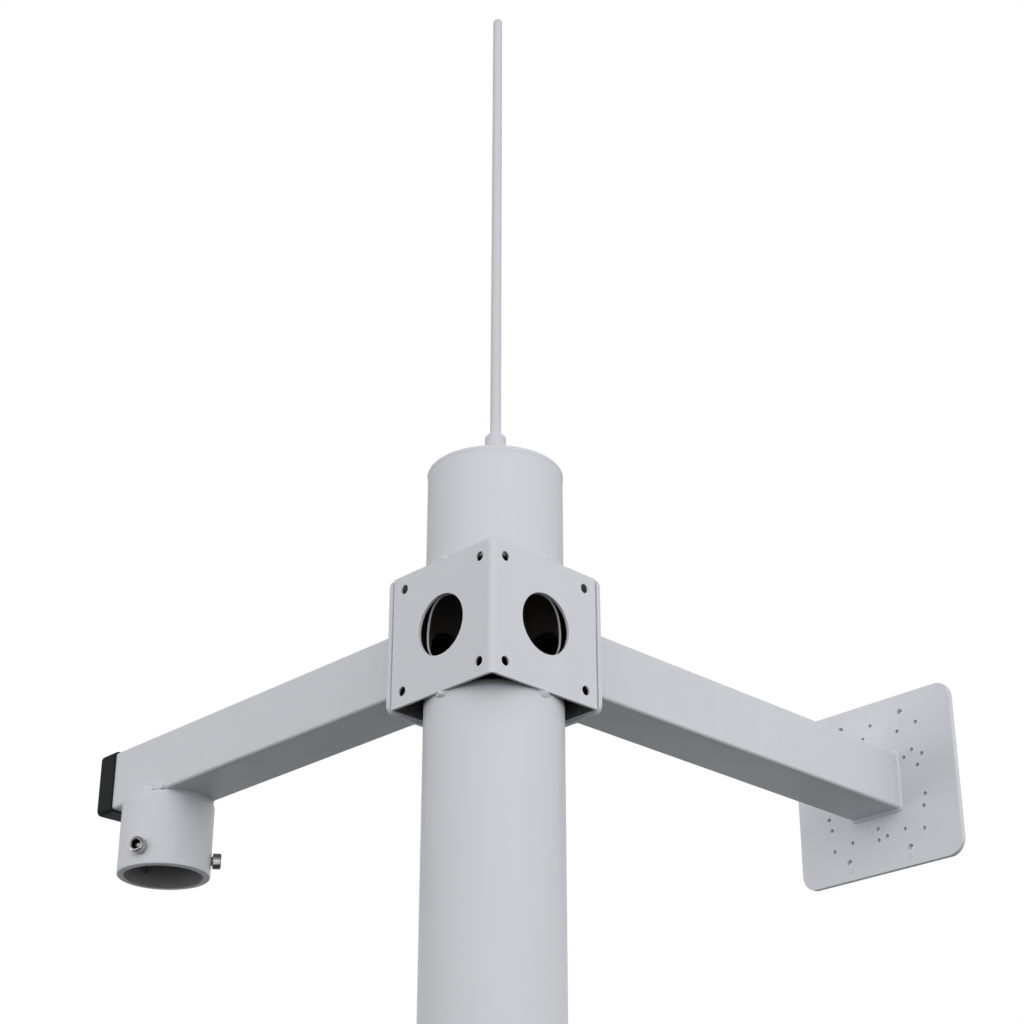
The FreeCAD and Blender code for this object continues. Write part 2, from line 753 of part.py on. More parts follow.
def four_of(name, piece):
    """The piece at all four bolt holes of the right flange."""
    pair = compound(name + "_pair", [piece, mirrored(name + "_across", piece, ACROSS_Y)])
    return compound(name, [pair, mirrored(name + "_below", pair, LEVEL, HEAD)])


def make_fasteners():
    """Bolts, washers and nuts of the right flange, and their mirror images on the left one."""
    across = BOLT_OFFSET
    up = HEAD + " + " + BOLT_OFFSET
    head_seat = ARM_START + " + Sizes.washer_thickness"
    bolt = new_body("flange_bolt")
    shank = new_sketch(bolt, "YZ_Plane", INSIDE + " - Sizes.nut_height - Sizes.bolt_end")
    circle(shank, across, up, "Sizes.bolt_diameter / 2")
    pad(bolt, shank, "Sizes.bolt_end + Sizes.nut_height + Sizes.sheet_thickness"
                     " + Sizes.flange_thickness + Sizes.washer_thickness")
    head = new_sketch(bolt, "YZ_Plane", head_seat)
    hexagon(head, "Sizes.bolt_head_flats", across, up)
    pad(bolt, head, "Sizes.bolt_head_height")
    washer = new_body("flange_washer")
    ring = new_sketch(washer, "YZ_Plane", ARM_START)
    circle(ring, across, up, "Sizes.washer_diameter / 2")
    circle(ring, across, up, "Sizes.washer_hole / 2")
    pad(washer, ring, "Sizes.washer_thickness")
    nut = new_body("flange_nut")
    hexagonal = new_sketch(nut, "YZ_Plane", INSIDE)
    hexagon(hexagonal, "Sizes.bolt_head_flats", across, up)
    circle(hexagonal, across, up, "Sizes.bolt_diameter / 2 + Sizes.nut_play")
    pad(nut, hexagonal, "Sizes.nut_height", backwards=True)
    for kind, piece in (("bolts", bolt), ("washers", washer), ("nuts", nut)):
        right = four_of("right_flange_" + kind, piece)
        keep("right_flange_" + kind, right)
        left = mirrored("left_flange_" + kind, right, ACROSS_ARMS)
        keep("left_flange_" + kind, left)


# The lightning rod and the socket it stands in

def make_rod_socket():
    """A turned socket on the cap's centre, with a through bore for the rod."""
    bore = "Sizes.rod_diameter / 2 + Sizes.rod_play"
    outer = "Sizes.rod_socket_diameter / 2"
    height = "Sizes.rod_socket_height"
    body = turned_piece("rod_socket", [
        (bore, "0", ""),
        (outer, "0", ""),
        (outer, height + " - Sizes.rod_socket_chamfer", ""),
        (outer + " - Sizes.rod_socket_chamfer", height, ""),
        (bore, height, ""),
    ], "0", CAP_TOP)
    return keep("rod_socket", body)


def fillet_ring(name, radius, leg, rise, height):
    """A bead of triangular section round an upright round piece."""
    body = turned_piece(name, [
        (radius, "0", ""),
        ("%s + %s" % (radius, leg), "0", ""),
        (radius, rise, ""),
    ], "0", height)
    return keep(name, body)


def make_rod():
    """The slender rod on the cap, straight in its socket, then tapering to a rounded tip."""
    body = turned_piece("lightning_rod", [
        ("0", "0", ""),
        ("Sizes.rod_diameter / 2", "0", ""),
        ("Sizes.rod_diameter / 2", "Sizes.rod_socket_height + Sizes.rod_weld_rise", ""),
        ("Sizes.rod_end_diameter / 2", "Sizes.rod_length", ""),
        ("0", "Sizes.rod_length", ""),
    ], "0", CAP_TOP)
    tip = value("Sizes.rod_length")
    dress_edges(body, "Fillet", "Sizes.rod_tip_round",
                lambda edge: len(edge.Vertexes) == 1 and abs(edge.CenterOfMass.z - tip) < ROUNDING)
    return keep("lightning_rod", body)


# The whole mast, piece by piece

def build():
    make_pole()
    make_top_cap()
    make_top_cap_weld()
    make_front_sheet()
    make_rear_sheet()
    make_tack_welds()
    right_flange = make_right_flange()
    keep("left_arm_flange", mirrored("left_arm_flange", right_flange, ACROSS_ARMS))
    make_right_tube()
    left_tube = make_left_tube()
    right_weld = weld_frame("right_arm_weld", ARM_START, "Sizes.arm_weld_leg", False)
    keep("left_arm_weld", mirrored("left_arm_weld", right_weld, ACROSS_ARMS))
    make_camera_plate()
    weld_frame("camera_plate_weld", RIGHT_END, "Sizes.plate_weld_leg", True)
    make_end_cap()
    make_collar()
    make_collar_weld(make_collar_top(), left_tube)
    for number in range(1, CLAMP_COUNT + 1):
        make_clamp_screw(number)
    make_fasteners()
    make_rod_socket()
    fillet_ring("rod_socket_weld", "Sizes.rod_socket_diameter / 2", "Sizes.rod_socket_weld",
                "Sizes.rod_socket_weld", CAP_TOP)
    make_rod()
    fillet_ring("rod_weld", "Sizes.rod_diameter / 2", "Sizes.rod_weld_leg",
                "Sizes.rod_weld_rise", CAP_TOP + " + Sizes.rod_socket_height")


def check():
    """Stops before anything is written if an object failed or a sub-part isn't a valid solid."""
    doc.recompute()
    for item in doc.Objects:
        if "Invalid" in item.State or "Error" in item.State:
            raise ValueError("failed object: " + item.Label)
    for label, piece in nodes.items():
        shape = piece.Shape
        if shape.isNull() or not shape.isValid() or not shape.Solids:
            raise ValueError("no valid solid: " + label)


def write():
    os.makedirs("parts", exist_ok=True)
    for label, piece in nodes.items():
        piece.Shape.exportStep("parts/%s.step" % label)
        print(label, len(piece.Shape.Solids), "solids", round(piece.Shape.Volume / 1000, 2), "cm3")


build()
check()
write()
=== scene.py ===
"""The looks of a camera mast head: painted steel, weld beads, fasteners and a studio round them."""

from __future__ import annotations

import json
import logging
import math
from dataclasses import dataclass, field
from enum import Enum
from typing import Callable, Iterable, Sequence

import bmesh
import bpy
from mathutils import Matrix, Vector, noise

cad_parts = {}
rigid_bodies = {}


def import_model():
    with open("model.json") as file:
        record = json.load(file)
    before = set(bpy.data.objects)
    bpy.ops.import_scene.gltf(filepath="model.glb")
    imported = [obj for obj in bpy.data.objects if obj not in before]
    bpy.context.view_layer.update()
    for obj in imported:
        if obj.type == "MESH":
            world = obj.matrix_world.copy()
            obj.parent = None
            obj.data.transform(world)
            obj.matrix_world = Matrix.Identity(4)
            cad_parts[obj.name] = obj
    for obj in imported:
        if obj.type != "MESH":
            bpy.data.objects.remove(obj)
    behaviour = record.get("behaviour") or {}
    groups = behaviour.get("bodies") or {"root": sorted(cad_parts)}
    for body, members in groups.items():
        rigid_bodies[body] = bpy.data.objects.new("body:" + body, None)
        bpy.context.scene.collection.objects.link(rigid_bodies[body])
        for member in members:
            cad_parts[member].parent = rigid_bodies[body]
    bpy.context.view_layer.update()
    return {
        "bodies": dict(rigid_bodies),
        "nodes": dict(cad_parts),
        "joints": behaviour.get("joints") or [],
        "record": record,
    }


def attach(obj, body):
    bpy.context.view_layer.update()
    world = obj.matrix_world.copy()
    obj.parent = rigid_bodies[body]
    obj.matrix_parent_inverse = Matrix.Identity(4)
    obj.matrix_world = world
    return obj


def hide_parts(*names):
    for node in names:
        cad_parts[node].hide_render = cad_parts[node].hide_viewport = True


LOG = logging.getLogger("camera_mast")
MM = 0.001
FULL_TURN = 2 * math.pi
UP = Vector((0, 0, 1))
# The paint fade's depth at each corner: real thinning in cut edges, and painted shade on some pieces.
FADE_DEPTH = "paint_fade_depth"
FACING = 0.7
LEVEL = 0.9
OVERLAP = 0.2 * MM
BEAD_NOISE_SCALE = 110
RIPPLE_LAG = 0.35
END_TAPER = 0.25
TAPER_GAIN = 9
SEAT_SHARE = 0.95
CORNER_SLANT_DEG = 30
THREAD_DEPTH = 0.61
ROWS_A_PITCH = 6

Colour = tuple[float, float, float, float]
Point = tuple[float, float]
Node = bpy.types.Node
Piece = bpy.types.Object
Socket = bpy.types.NodeSocket


class Slot(Enum):
    """The record's material slots."""

    PAINT = "paint"
    BLACK_PLASTIC = "black_plastic"
    STAINLESS = "stainless"
    ZINC = "zinc"


class Along(Enum):
    """The row axis that an arm, a flange or a hole runs along."""

    X = "x"
    Y = "y"


class Relief(Enum):
    """The fine relief of a finish: its features a metre and its depth in millimetres."""

    ORANGE_PEEL = (420.0, 0.05)
    SPATTER = (900.0, 0.25)
    MILL_SCALE = (260.0, 0.15)
    MOULDED_GRAIN = (1500.0, 0.06)


class Effect(Enum):
    """The effects that finishes share, by the names of their node groups."""

    COLOUR_DRIFT = "Colour_drift"
    GLOSS_DRIFT = "Gloss_drift"
    ORANGE_PEEL = "Orange_peel"
    BRUSHED_GRAIN = "Brushed_grain"
    SPRAY_FADE_AND_SHADE = "Spray_fade_and_shade"


# Node trees and the groups that finishes share


class Graph:
    """A node tree with short ways to add, feed and link its nodes."""

    def __init__(self, tree: bpy.types.NodeTree) -> None:
        """Wraps a tree.

        Args:
            tree: The node tree.
        """
        self.tree = tree

    def feed(self, node: Node, feeds: dict[str | int, object]) -> None:
        """Links or sets a node's inputs.

        Args:
            node: The node.
            feeds: A socket or a value for each input, by its name or number.
        """
        for name, value in feeds.items():
            if isinstance(value, Socket):
                self.tree.links.new(value, node.inputs[name])
            else:
                node.inputs[name].default_value = value

    def add(self, kind: str, feeds: dict[str | int, object] | None = None,
            **settings: object) -> Node:
        """Adds a node.

        Args:
            kind: The node's type.
            feeds: A socket or a value for each input.
            **settings: The node's own options.

        Returns:
            The node.
        """
        node = self.tree.nodes.new("ShaderNode" + kind)
        for name, value in settings.items():
            setattr(node, name, value)
        self.feed(node, feeds or {})
        return node

    def math(self, operation: str, *values: object) -> Socket:
        """Adds a Math node.

        Args:
            operation: The node's operation.
            *values: A socket or a number for each input.

        Returns:
            The node's result.
        """
        return self.add("Math", dict(enumerate(values)), operation=operation).outputs[0]

    def mixed(self, factor: Socket, first: object, second: object, kind: str = "RGBA") -> Socket:
        """Adds a Mix node.

        Args:
            factor: The share of the second input.
            first: A socket or a value.
            second: A socket or a value.
            kind: The kind of data that it mixes.

        Returns:
            The node's result.
        """
        mix = self.add("Mix", data_type=kind)
        self.feed(mix, {"Factor": factor, "A": first, "B": second})
        return mix.outputs["Result"]

    def noise(self, scale: object, stretch: Sequence[float] = (1, 1, 1),
              detail: float = 3.0) -> Socket:
        """Adds a noise over the piece's own coordinates.

        Args:
            scale: A socket or a number, in features a metre.
            stretch: How much finer it is along X, Y and Z.
            detail: Its octaves.

        Returns:
            The noise.
        """
        place = self.add("TexCoord")
        mapping = self.add("Mapping", {"Vector": place.outputs["Object"], "Scale": stretch})
        texture = self.add("TexNoise", {"Vector": mapping.outputs["Vector"], "Scale": scale,
                                        "Detail": detail})
        return texture.outputs["Fac"]


class ShaderGroups:
    """Node groups that are built once and placed in each material with its own values."""

    def __init__(self) -> None:
        """Starts with no group built."""
        self._made: dict[Effect, bpy.types.NodeTree] = {}
        self._builders: dict[Effect, Callable[[Effect], bpy.types.NodeTree]] = {
            Effect.COLOUR_DRIFT: self._colour_drift, Effect.GLOSS_DRIFT: self._gloss_drift,
            Effect.ORANGE_PEEL: self._orange_peel, Effect.BRUSHED_GRAIN: self._brushed_grain,
            Effect.SPRAY_FADE_AND_SHADE: self._spray_fade_and_shade}

    def place(self, graph: Graph, effect: Effect, **values: object
              ) -> bpy.types.bpy_prop_collection:
        """Places an effect in a material.

        Args:
            graph: The material's nodes.
            effect: The effect.
            **values: Input name to value.

        Returns:
            The placed group's outputs.
        """
        if effect not in self._made:
            self._made[effect] = self._builders[effect](effect)
        return graph.add("Group", values, node_tree=self._made[effect]).outputs

    @staticmethod
    def _open(effect: Effect, **inputs: object) -> tuple[Graph, bpy.types.bpy_prop_collection]:
        """Starts a group.

        Args:
            effect: The effect that it makes.
            **inputs: Input name to default value.

        Returns:
            The group's nodes, and its inputs as sockets to link from.
        """
        tree = bpy.data.node_groups.new(effect.value, "ShaderNodeTree")
        for label, value in inputs.items():
            kind = "NodeSocketFloat" if isinstance(value, float) else "NodeSocketColor"
            socket = tree.interface.new_socket(name=label, in_out="INPUT", socket_type=kind)
            socket.default_value = value
        return Graph(tree), tree.nodes.new("NodeGroupInput").outputs

    @staticmethod
    def _close(graph: Graph, **outputs: Socket) -> bpy.types.NodeTree:
        """Ends a group.

        Args:
            graph: The group's nodes.
            **outputs: Output name to its source.

        Returns:
            The group.
        """
        for label in outputs:
            kind = "NodeSocketColor" if label == "Colour" else "NodeSocketFloat"
            graph.tree.interface.new_socket(name=label, in_out="OUTPUT", socket_type=kind)
        graph.feed(graph.tree.nodes.new("NodeGroupOutput"), outputs)
        return graph.tree

    def _colour_drift(self, effect: Effect) -> bpy.types.NodeTree:
        """A colour that drifts in wide soft patches and narrow upright ones.

        Args:
            effect: The effect that it makes.

        Returns:
            The group.
        """
        graph, given = self._open(effect, Colour=(0.5, 0.5, 0.5, 1), Spread=0.03, Scale=9.0)
        patches = graph.noise(given["Scale"])
        streaks = graph.noise(given["Scale"], (5, 5, 0.35), 5)
        offset = graph.math("SUBTRACT", graph.math("ADD", patches, streaks), 1.0)
        gain = graph.math("MULTIPLY_ADD", offset, given["Spread"], 1.0)
        tint = graph.add("VectorMath", {0: given["Colour"], "Scale": gain}, operation="SCALE")
        return self._close(graph, Colour=tint.outputs["Vector"])

    def _gloss_drift(self, effect: Effect) -> bpy.types.NodeTree:
        """A roughness that varies a little over the surface.

        Args:
            effect: The effect that it makes.

        Returns:
            The group.
        """
        graph, given = self._open(effect, Roughness=0.4, Spread=0.1, Scale=30.0)
        offset = graph.math("SUBTRACT", graph.noise(given["Scale"], detail=6), 0.5)
        return self._close(graph, Roughness=graph.math("MULTIPLY_ADD", offset, given["Spread"],
                                                       given["Roughness"]))

    def _orange_peel(self, effect: Effect) -> bpy.types.NodeTree:
        """The fine waves of sprayed paint, or the pimples of moulded plastic, as a height.

        Args:
            effect: The effect that it makes.

        Returns:
            The group.
        """
        graph, given = self._open(effect, Scale=500.0, Depth=1.0)
        waves = graph.noise(given["Scale"], detail=1.5)
        return self._close(graph, Height=graph.math("MULTIPLY", waves, given["Depth"]))

    def _brushed_grain(self, effect: Effect) -> bpy.types.NodeTree:
        """Fine turning or drawing marks, as a height and a mask.

        Args:
            effect: The effect that it makes.

        Returns:
            The group.
        """
        graph, given = self._open(effect, Scale=300.0)
        coarse = graph.noise(given["Scale"], (1, 1, 8), 4)
        fine = graph.noise(given["Scale"], (7, 7, 2), 6)
        half = graph.math("MULTIPLY", graph.math("ADD", coarse, fine), 0.5)
        return self._close(graph, Height=half, Mask=half)

    def _spray_fade_and_shade(self, effect: Effect) -> bpy.types.NodeTree:
        """Where sprayed paint thins out inside a cut edge, and where shade is painted in by the same fade:
        0 on paint and 1 on bare steel or painted shade.

        Args:
            effect: The effect that it makes.

        Returns:
            The group.
        """
        graph, given = self._open(effect, Reach=1.5, Ragged=1.0, Steep=5.0)
        depth = graph.add("Attribute", attribute_name=FADE_DEPTH).outputs["Fac"]
        offset = graph.math("SUBTRACT", graph.noise(420.0, detail=2), 0.5)
        shifted = graph.math("ADD", depth, graph.math("MULTIPLY", offset, given["Ragged"]))
        past = graph.math("SUBTRACT", shifted, given["Reach"])
        clamp = graph.add("Clamp", {"Value": graph.math("MULTIPLY", past, given["Steep"])})
        return self._close(graph, Bare=clamp.outputs["Result"])


GROUPS = ShaderGroups()


# Finishes


def new_material(name: str) -> tuple[bpy.types.Material, Graph, Node]:
    """Makes a material with a bare Principled shader.

    Args:
        name: The material's name.

    Returns:
        The material, its nodes and its shader.
    """
    material = bpy.data.materials.new(name)
    material.use_nodes = True
    return material, Graph(material.node_tree), material.node_tree.nodes["Principled BSDF"]


@dataclass(frozen=True)
class Finish:
    """A drifting colour, a varying roughness and a fine relief."""

    name: str
    colour: Colour
    spread: float = 0.03
    scale: float = 9.0
    roughness: float = 0.38
    gloss_spread: float = 0.16
    gloss_scale: float = 30.0
    specular: float = 0.5
    metallic: float = 0.0
    relief: Relief = Relief.ORANGE_PEEL

    def material(self) -> bpy.types.Material:
        """Builds the finish.

        Returns:
            The material.
        """
        material, graph, shader = new_material(self.name)
        gloss = GROUPS.place(graph, Effect.GLOSS_DRIFT, Roughness=self.roughness,
                             Spread=self.gloss_spread, Scale=self.gloss_scale)
        depth, height = self._height(graph)
        bump = graph.add("Bump", {"Distance": depth, "Strength": 1.0, "Height": height})
        graph.feed(shader, {"Specular IOR Level": self.specular, "Metallic": self.metallic,
                            "Roughness": gloss["Roughness"], "Normal": bump.outputs["Normal"]})
        graph.feed(shader, self._colours(graph))
        return material

    def _colours(self, graph: Graph) -> dict[str | int, object]:
        """The base colour, as a feed of the shader."""
        drift = GROUPS.place(graph, Effect.COLOUR_DRIFT, Colour=self.colour, Spread=self.spread,
                             Scale=self.scale)
        return {"Base Color": drift["Colour"]}

    def _height(self, graph: Graph) -> tuple[float, Socket]:
        """The relief's depth in metres, and its height."""
        scale, depth = self.relief.value
        return depth * MM, GROUPS.place(graph, Effect.ORANGE_PEEL, Scale=scale)["Height"]


@dataclass(frozen=True)
class PaintFinish(Finish):
    """Pale grey gloss paint, sprayed on steel, which thins out inside cut edges; its near-black bare
    colour also paints shade in deep corners.
    """

    name: str = "pale_gloss_paint"
    colour: Colour = (0.578, 0.59, 0.625, 1)
    specular: float = 0.4
    coat: float = 0.1
    coat_roughness: float = 0.2
    # Near black where the fade is full: a cut edge's bare steel, darkened there as painted shade.
    bare_colour: Colour = (0.009, 0.0085, 0.008, 1)
    fade_ragged: float = 1.0
    fade_steep: float = 5.0

    def _colours(self, graph: Graph) -> dict[str | int, object]:
        """The paint's colour and gloss, both lost where the steel is bare and where the fade paints shade.

        Args:
            graph: The material's nodes.

        Returns:
            The shader's feeds.
        """
        paint = super()._colours(graph)["Base Color"]
        bare = GROUPS.place(graph, Effect.SPRAY_FADE_AND_SHADE, Ragged=self.fade_ragged,
                            Steep=self.fade_steep)["Bare"]
        gloss = {label: graph.math("MULTIPLY_ADD", bare, -value, value)
                 for label, value in (("Coat Weight", self.coat),
                                      ("Specular IOR Level", self.specular))}
        return {"Base Color": graph.mixed(bare, paint, self.bare_colour),
                "Coat Roughness": self.coat_roughness, **gloss}


@dataclass(frozen=True)
class BareSteelFinish(Finish):
    """Dark unpainted steel inside a tube, with mill scale; some copies of it paint shade in hidden
    corners.
    """

    name: str = "bare_tube_inside_shaded_walls"
    colour: Colour = (0.115, 0.104, 0.092, 1)
    spread: float = 0.5
    scale: float = 40.0
    roughness: float = 0.7
    gloss_spread: float = 0.3
    specular: float = 0.06
    relief: Relief = Relief.MILL_SCALE


@dataclass(frozen=True)
class PlasticFinish(Finish):
    """Black moulded plastic with a fine matt grain."""

    name: str = "black_moulded_plastic"
    colour: Colour = (0.011, 0.012, 0.013, 1)
    spread: float = 0.25
    scale: float = 60.0
    roughness: float = 0.5
    gloss_spread: float = 0.2
    gloss_scale: float = 120.0
    specular: float = 0.12
    relief: Relief = Relief.MOULDED_GRAIN


@dataclass(frozen=True)
class MetalFinish(Finish):
    """Bare metal with turning marks: stainless or zinc plated."""

    gloss_spread: float = 0.25
    gloss_scale: float = 200.0
    metallic: float = 1.0
    dark: Colour = (0.3, 0.3, 0.3, 1)
    grain_scale: float = 320.0
    grain_depth: float = 0.03 * MM

    def _grain(self, graph: Graph) -> bpy.types.bpy_prop_collection:
        """The turning marks' outputs."""
        return GROUPS.place(graph, Effect.BRUSHED_GRAIN, Scale=self.grain_scale)

    def _colours(self, graph: Graph) -> dict[str | int, object]:
        """The light and the dark metal, mixed by the turning marks."""
        return {"Base Color": graph.mixed(self._grain(graph)["Mask"], self.dark, self.colour)}

    def _height(self, graph: Graph) -> tuple[float, Socket]:
        """The turning marks' depth in metres, and their height."""
        return self.grain_depth, self._grain(graph)["Height"]


# Mesh tools


def linked(name: str, mesh: bpy.types.Mesh) -> Piece:
    """Makes an object of a mesh and links it to the scene."""
    piece = bpy.data.objects.new(name, mesh)
    bpy.context.scene.collection.objects.link(piece)
    return piece


def mesh_object(name: str, vertices: Sequence[Vector], faces: Sequence[Sequence[int]]) -> Piece:
    """Makes an object from points and faces, with its normals facing out.

    Args:
        name: The object's name.
        vertices: The points.
        faces: Point numbers of each face.

    Returns:
        The object.
    """
    mesh = bpy.data.meshes.new(name)
    mesh.from_pydata([tuple(point) for point in vertices], [], faces)
    work = bmesh.new()
    work.from_mesh(mesh)
    bmesh.ops.recalc_face_normals(work, faces=work.faces)
    work.to_mesh(mesh)
    work.free()
    return linked(name, mesh)


def ray_at(angle: float) -> Vector:
    """The level direction at an angle in radians."""
    return Vector((math.cos(angle), math.sin(angle), 0))


def lifted(*place: float) -> Matrix:
    """The move to a place."""
    return Matrix.Translation(place)


def quarter_turn(steps: int) -> list[float]:
    """The angles from 0 to a right angle, in equal steps."""
    return [math.pi / 2 * step / steps for step in range(steps + 1)]


def four_places(across: float, up: float, level: float = 0.0) -> list[Matrix]:
    """The moves to the four corners of a rectangle round the Z axis."""
    return [lifted(side * across, rise * up, level) for side in (-1, 1) for rise in (-1, 1)]


def skinned(name: str, rings: Sequence[Sequence[Vector]], closed: bool = False) -> Piece:
    """Joins rings of as many points each by a skin.

    Args:
        name: The object's name.
        rings: The rings, in order.
        closed: Whether the last ring meets the first. Else both ends get a face.

    Returns:
        The object.
    """
    count = len(rings[0])
    total = len(rings)
    faces = []
    for ring in range(total if closed else total - 1):
        here = ring * count
        there = (ring + 1) % total * count
        for step in range(count):
            following = (step + 1) % count
            faces.append([here + step, here + following, there + following, there + step])
    if not closed:
        faces += [list(range(count)), list(range((total - 1) * count, total * count))]
    return mesh_object(name, [point for ring in rings for point in ring], faces)


def lathe(name: str, profile: Sequence[Point], segments: int = 96,
          radius_at: Callable[[int, float, float], float] | None = None) -> Piece:
    """Turns a closed profile round the Z axis.

    Args:
        name: The object's name.
        profile: Radius and height of each corner, in order round the section.
        segments: The number of steps round.
        radius_at: Changes a corner's radius by its number, its radius and the angle.

    Returns:
        The turned object. Corners with radius 0 become one point.
    """
    vertices: list[Vector] = []
    rings: list[list[int]] = []
    for number, (radius, height) in enumerate(profile):
        first = len(vertices)
        if radius == 0:
            vertices.append(UP * height)
            rings.append([first] * segments)
            continue
        for step in range(segments):
            angle = FULL_TURN * step / segments
            reach = radius_at(number, radius, angle) if radius_at else radius
            vertices.append(Vector((reach * math.cos(angle), reach * math.sin(angle), height)))
        rings.append(list(range(first, first + segments)))
    faces = []
    for number, ring in enumerate(rings):
        following = (number + 1) % len(rings)
        if profile[number][0] == 0 and profile[following][0] == 0:
            continue
        other = rings[following]
        for a in range(segments):
            b = (a + 1) % segments
            faces.append(list(dict.fromkeys((ring[a], ring[b], other[b], other[a]))))
    return mesh_object(name, vertices, faces)


def prism(name: str, outline: Sequence[Point], low: float, high: float,
          hollow: Sequence[Point] = ()) -> Piece:
    """Raises an outline from one height to another.

    Args:
        name: The object's name.
        outline: The corners in the XY plane.
        low: The lower height.
        high: The upper height.
        hollow: An inner outline with as many corners, which leaves a tube.

    Returns:
        The object.
    """
    count = len(outline)
    vertices = [Vector((*point, level)) for level in (low, high) for point in outline]
    faces = [[a, (a + 1) % count, count + (a + 1) % count, count + a] for a in range(count)]
    if hollow:
        vertices += [Vector((*point, level)) for level in (low, high) for point in hollow]
        for a in range(count):
            b = (a + 1) % count
            faces.append([2 * count + a, 3 * count + a, 3 * count + b, 2 * count + b])
            faces.append([a, b, 2 * count + b, 2 * count + a])
            faces.append([count + a, count + b, 3 * count + b, 3 * count + a])
    else:
        faces += [list(range(count)), list(range(count, 2 * count))]
    return mesh_object(name, vertices, faces)


def rounded_rectangle(low: Point, high: Point, radius: float, steps: int = 8) -> list[Point]:
    """The outline of a rectangle with round corners.

    Args:
        low: The lower left corner.
        high: The upper right corner.
        radius: The corners' radius.
        steps: The number of steps round each corner.

    Returns:
        The outline's points, anticlockwise.
    """
    centres = ((high[0] - radius, high[1] - radius), (low[0] + radius, high[1] - radius),
               (low[0] + radius, low[1] + radius), (high[0] - radius, low[1] + radius))
    points = []
    for quarter, (across, up) in enumerate(centres):
        for step in range(steps + 1):
            angle = (quarter + step / steps) * math.pi / 2
            points.append((across + radius * math.cos(angle), up + radius * math.sin(angle)))
    return points


def rounded_square(half: float, radius: float, steps: int = 8) -> list[Point]:
    """The outline of a square round the origin, by its half width."""
    return rounded_rectangle((-half, -half), (half, half), radius, steps)


def at_level(outline: Sequence[Point], level: float) -> list[Vector]:
    """An outline's points at a height."""
    return [Vector((x, y, level)) for x, y in outline]


def turned(piece: Piece, matrix: Matrix) -> Piece:
    """Moves a piece's mesh, so that its object stays at the origin."""
    piece.data.transform(matrix)
    return piece


def upright_to(along: Along) -> Matrix:
    """The turn that lays a piece's Z axis along X or Y, with its Y axis up."""
    if along is Along.X:
        return Matrix(((0, 0, 1, 0), (1, 0, 0, 0), (0, 1, 0, 0), (0, 0, 0, 1)))
    return Matrix(((-1, 0, 0, 0), (0, 0, 1, 0), (0, 1, 0, 0), (0, 0, 0, 1)))


def pointed(direction: Vector, axis: str = "Z") -> Matrix:
    """The turn that points a piece's axis in a direction."""
    return direction.to_track_quat(axis, "Y").to_matrix().to_4x4()


def modified(piece: Piece, kind: str, **settings: object) -> Piece:
    """Runs a modifier on a piece and applies it.

    Args:
        piece: The piece.
        kind: The modifier's type.
        **settings: The modifier's options.

    Returns:
        The piece, with no modifier left.
    """
    modifier = piece.modifiers.new(kind.lower(), kind)
    for name, value in settings.items():
        setattr(modifier, name, value)
    graph = bpy.context.evaluated_depsgraph_get()
    mesh = bpy.data.meshes.new_from_object(piece.evaluated_get(graph))
    piece.modifiers.clear()
    piece.data = mesh
    return piece


def cut_away(piece: Piece, tools: Iterable[Piece]) -> Piece:
    """Cuts tools out of a piece and removes them.

    Args:
        piece: The piece.
        tools: What is cut out.

    Returns:
        The piece.
    """
    for tool in tools:
        modified(piece, "BOOLEAN", operation="DIFFERENCE", solver="EXACT", object=tool)
        bpy.data.objects.remove(tool)
    return piece


def drill(radius: float, length: float, matrix: Matrix, segments: int = 48) -> Piece:
    """A round cutting tool.

    Args:
        radius: The hole's radius.
        length: The tool's length, half on each side of its place.
        matrix: Where it stands and points.
        segments: The steps round.

    Returns:
        The tool.
    """
    outline = [(radius * math.cos(FULL_TURN * step / segments),
                radius * math.sin(FULL_TURN * step / segments)) for step in range(segments)]
    return turned(prism("drill", outline, -length / 2, length / 2), matrix)


def evenly_shaded(piece: Piece, angle: float = 50.0) -> Piece:
    """Shades a piece smooth, with its normals weighted by face size.

    Args:
        piece: The piece.
        angle: Edges sharper than this many degrees stay sharp.

    Returns:
        The piece.
    """
    for polygon in piece.data.polygons:
        polygon.use_smooth = True
    piece.data.set_sharp_from_angle(angle=math.radians(angle))
    return modified(piece, "WEIGHTED_NORMAL", keep_sharp=True, weight=80)


def softened(piece: Piece, width: float, segments: int = 2, angle: float = 35.0) -> Piece:
    """Rounds a piece's sharp edges, as a coat of paint does, and evens its shading.

    Args:
        piece: The piece.
        width: The rounding's width in metres.
        segments: The rounding's steps.
        angle: Edges sharper than this many degrees are rounded.

    Returns:
        The piece.
    """
    modified(piece, "BEVEL", width=width, segments=segments, limit_method="ANGLE",
             angle_limit=math.radians(angle), use_clamp_overlap=True)
    return evenly_shaded(piece)


def joined(name: str, pieces: Sequence[Piece]) -> Piece:
    """Joins pieces, which are used up, into one object of the given name.

    Args:
        name: The new object's name.
        pieces: The pieces.

    Returns:
        The joined object.
    """
    work = bmesh.new()
    for piece in pieces:
        work.from_mesh(piece.data)
        bpy.data.objects.remove(piece)
    mesh = bpy.data.meshes.new(name)
    work.to_mesh(mesh)
    work.free()
    return linked(name, mesh)


def choose_materials(piece: Piece, number_at: Callable[[bpy.types.MeshPolygon], int]) -> None:
    """Gives each face the number of its material."""
    for polygon in piece.data.polygons:
        polygon.material_index = int(number_at(polygon))


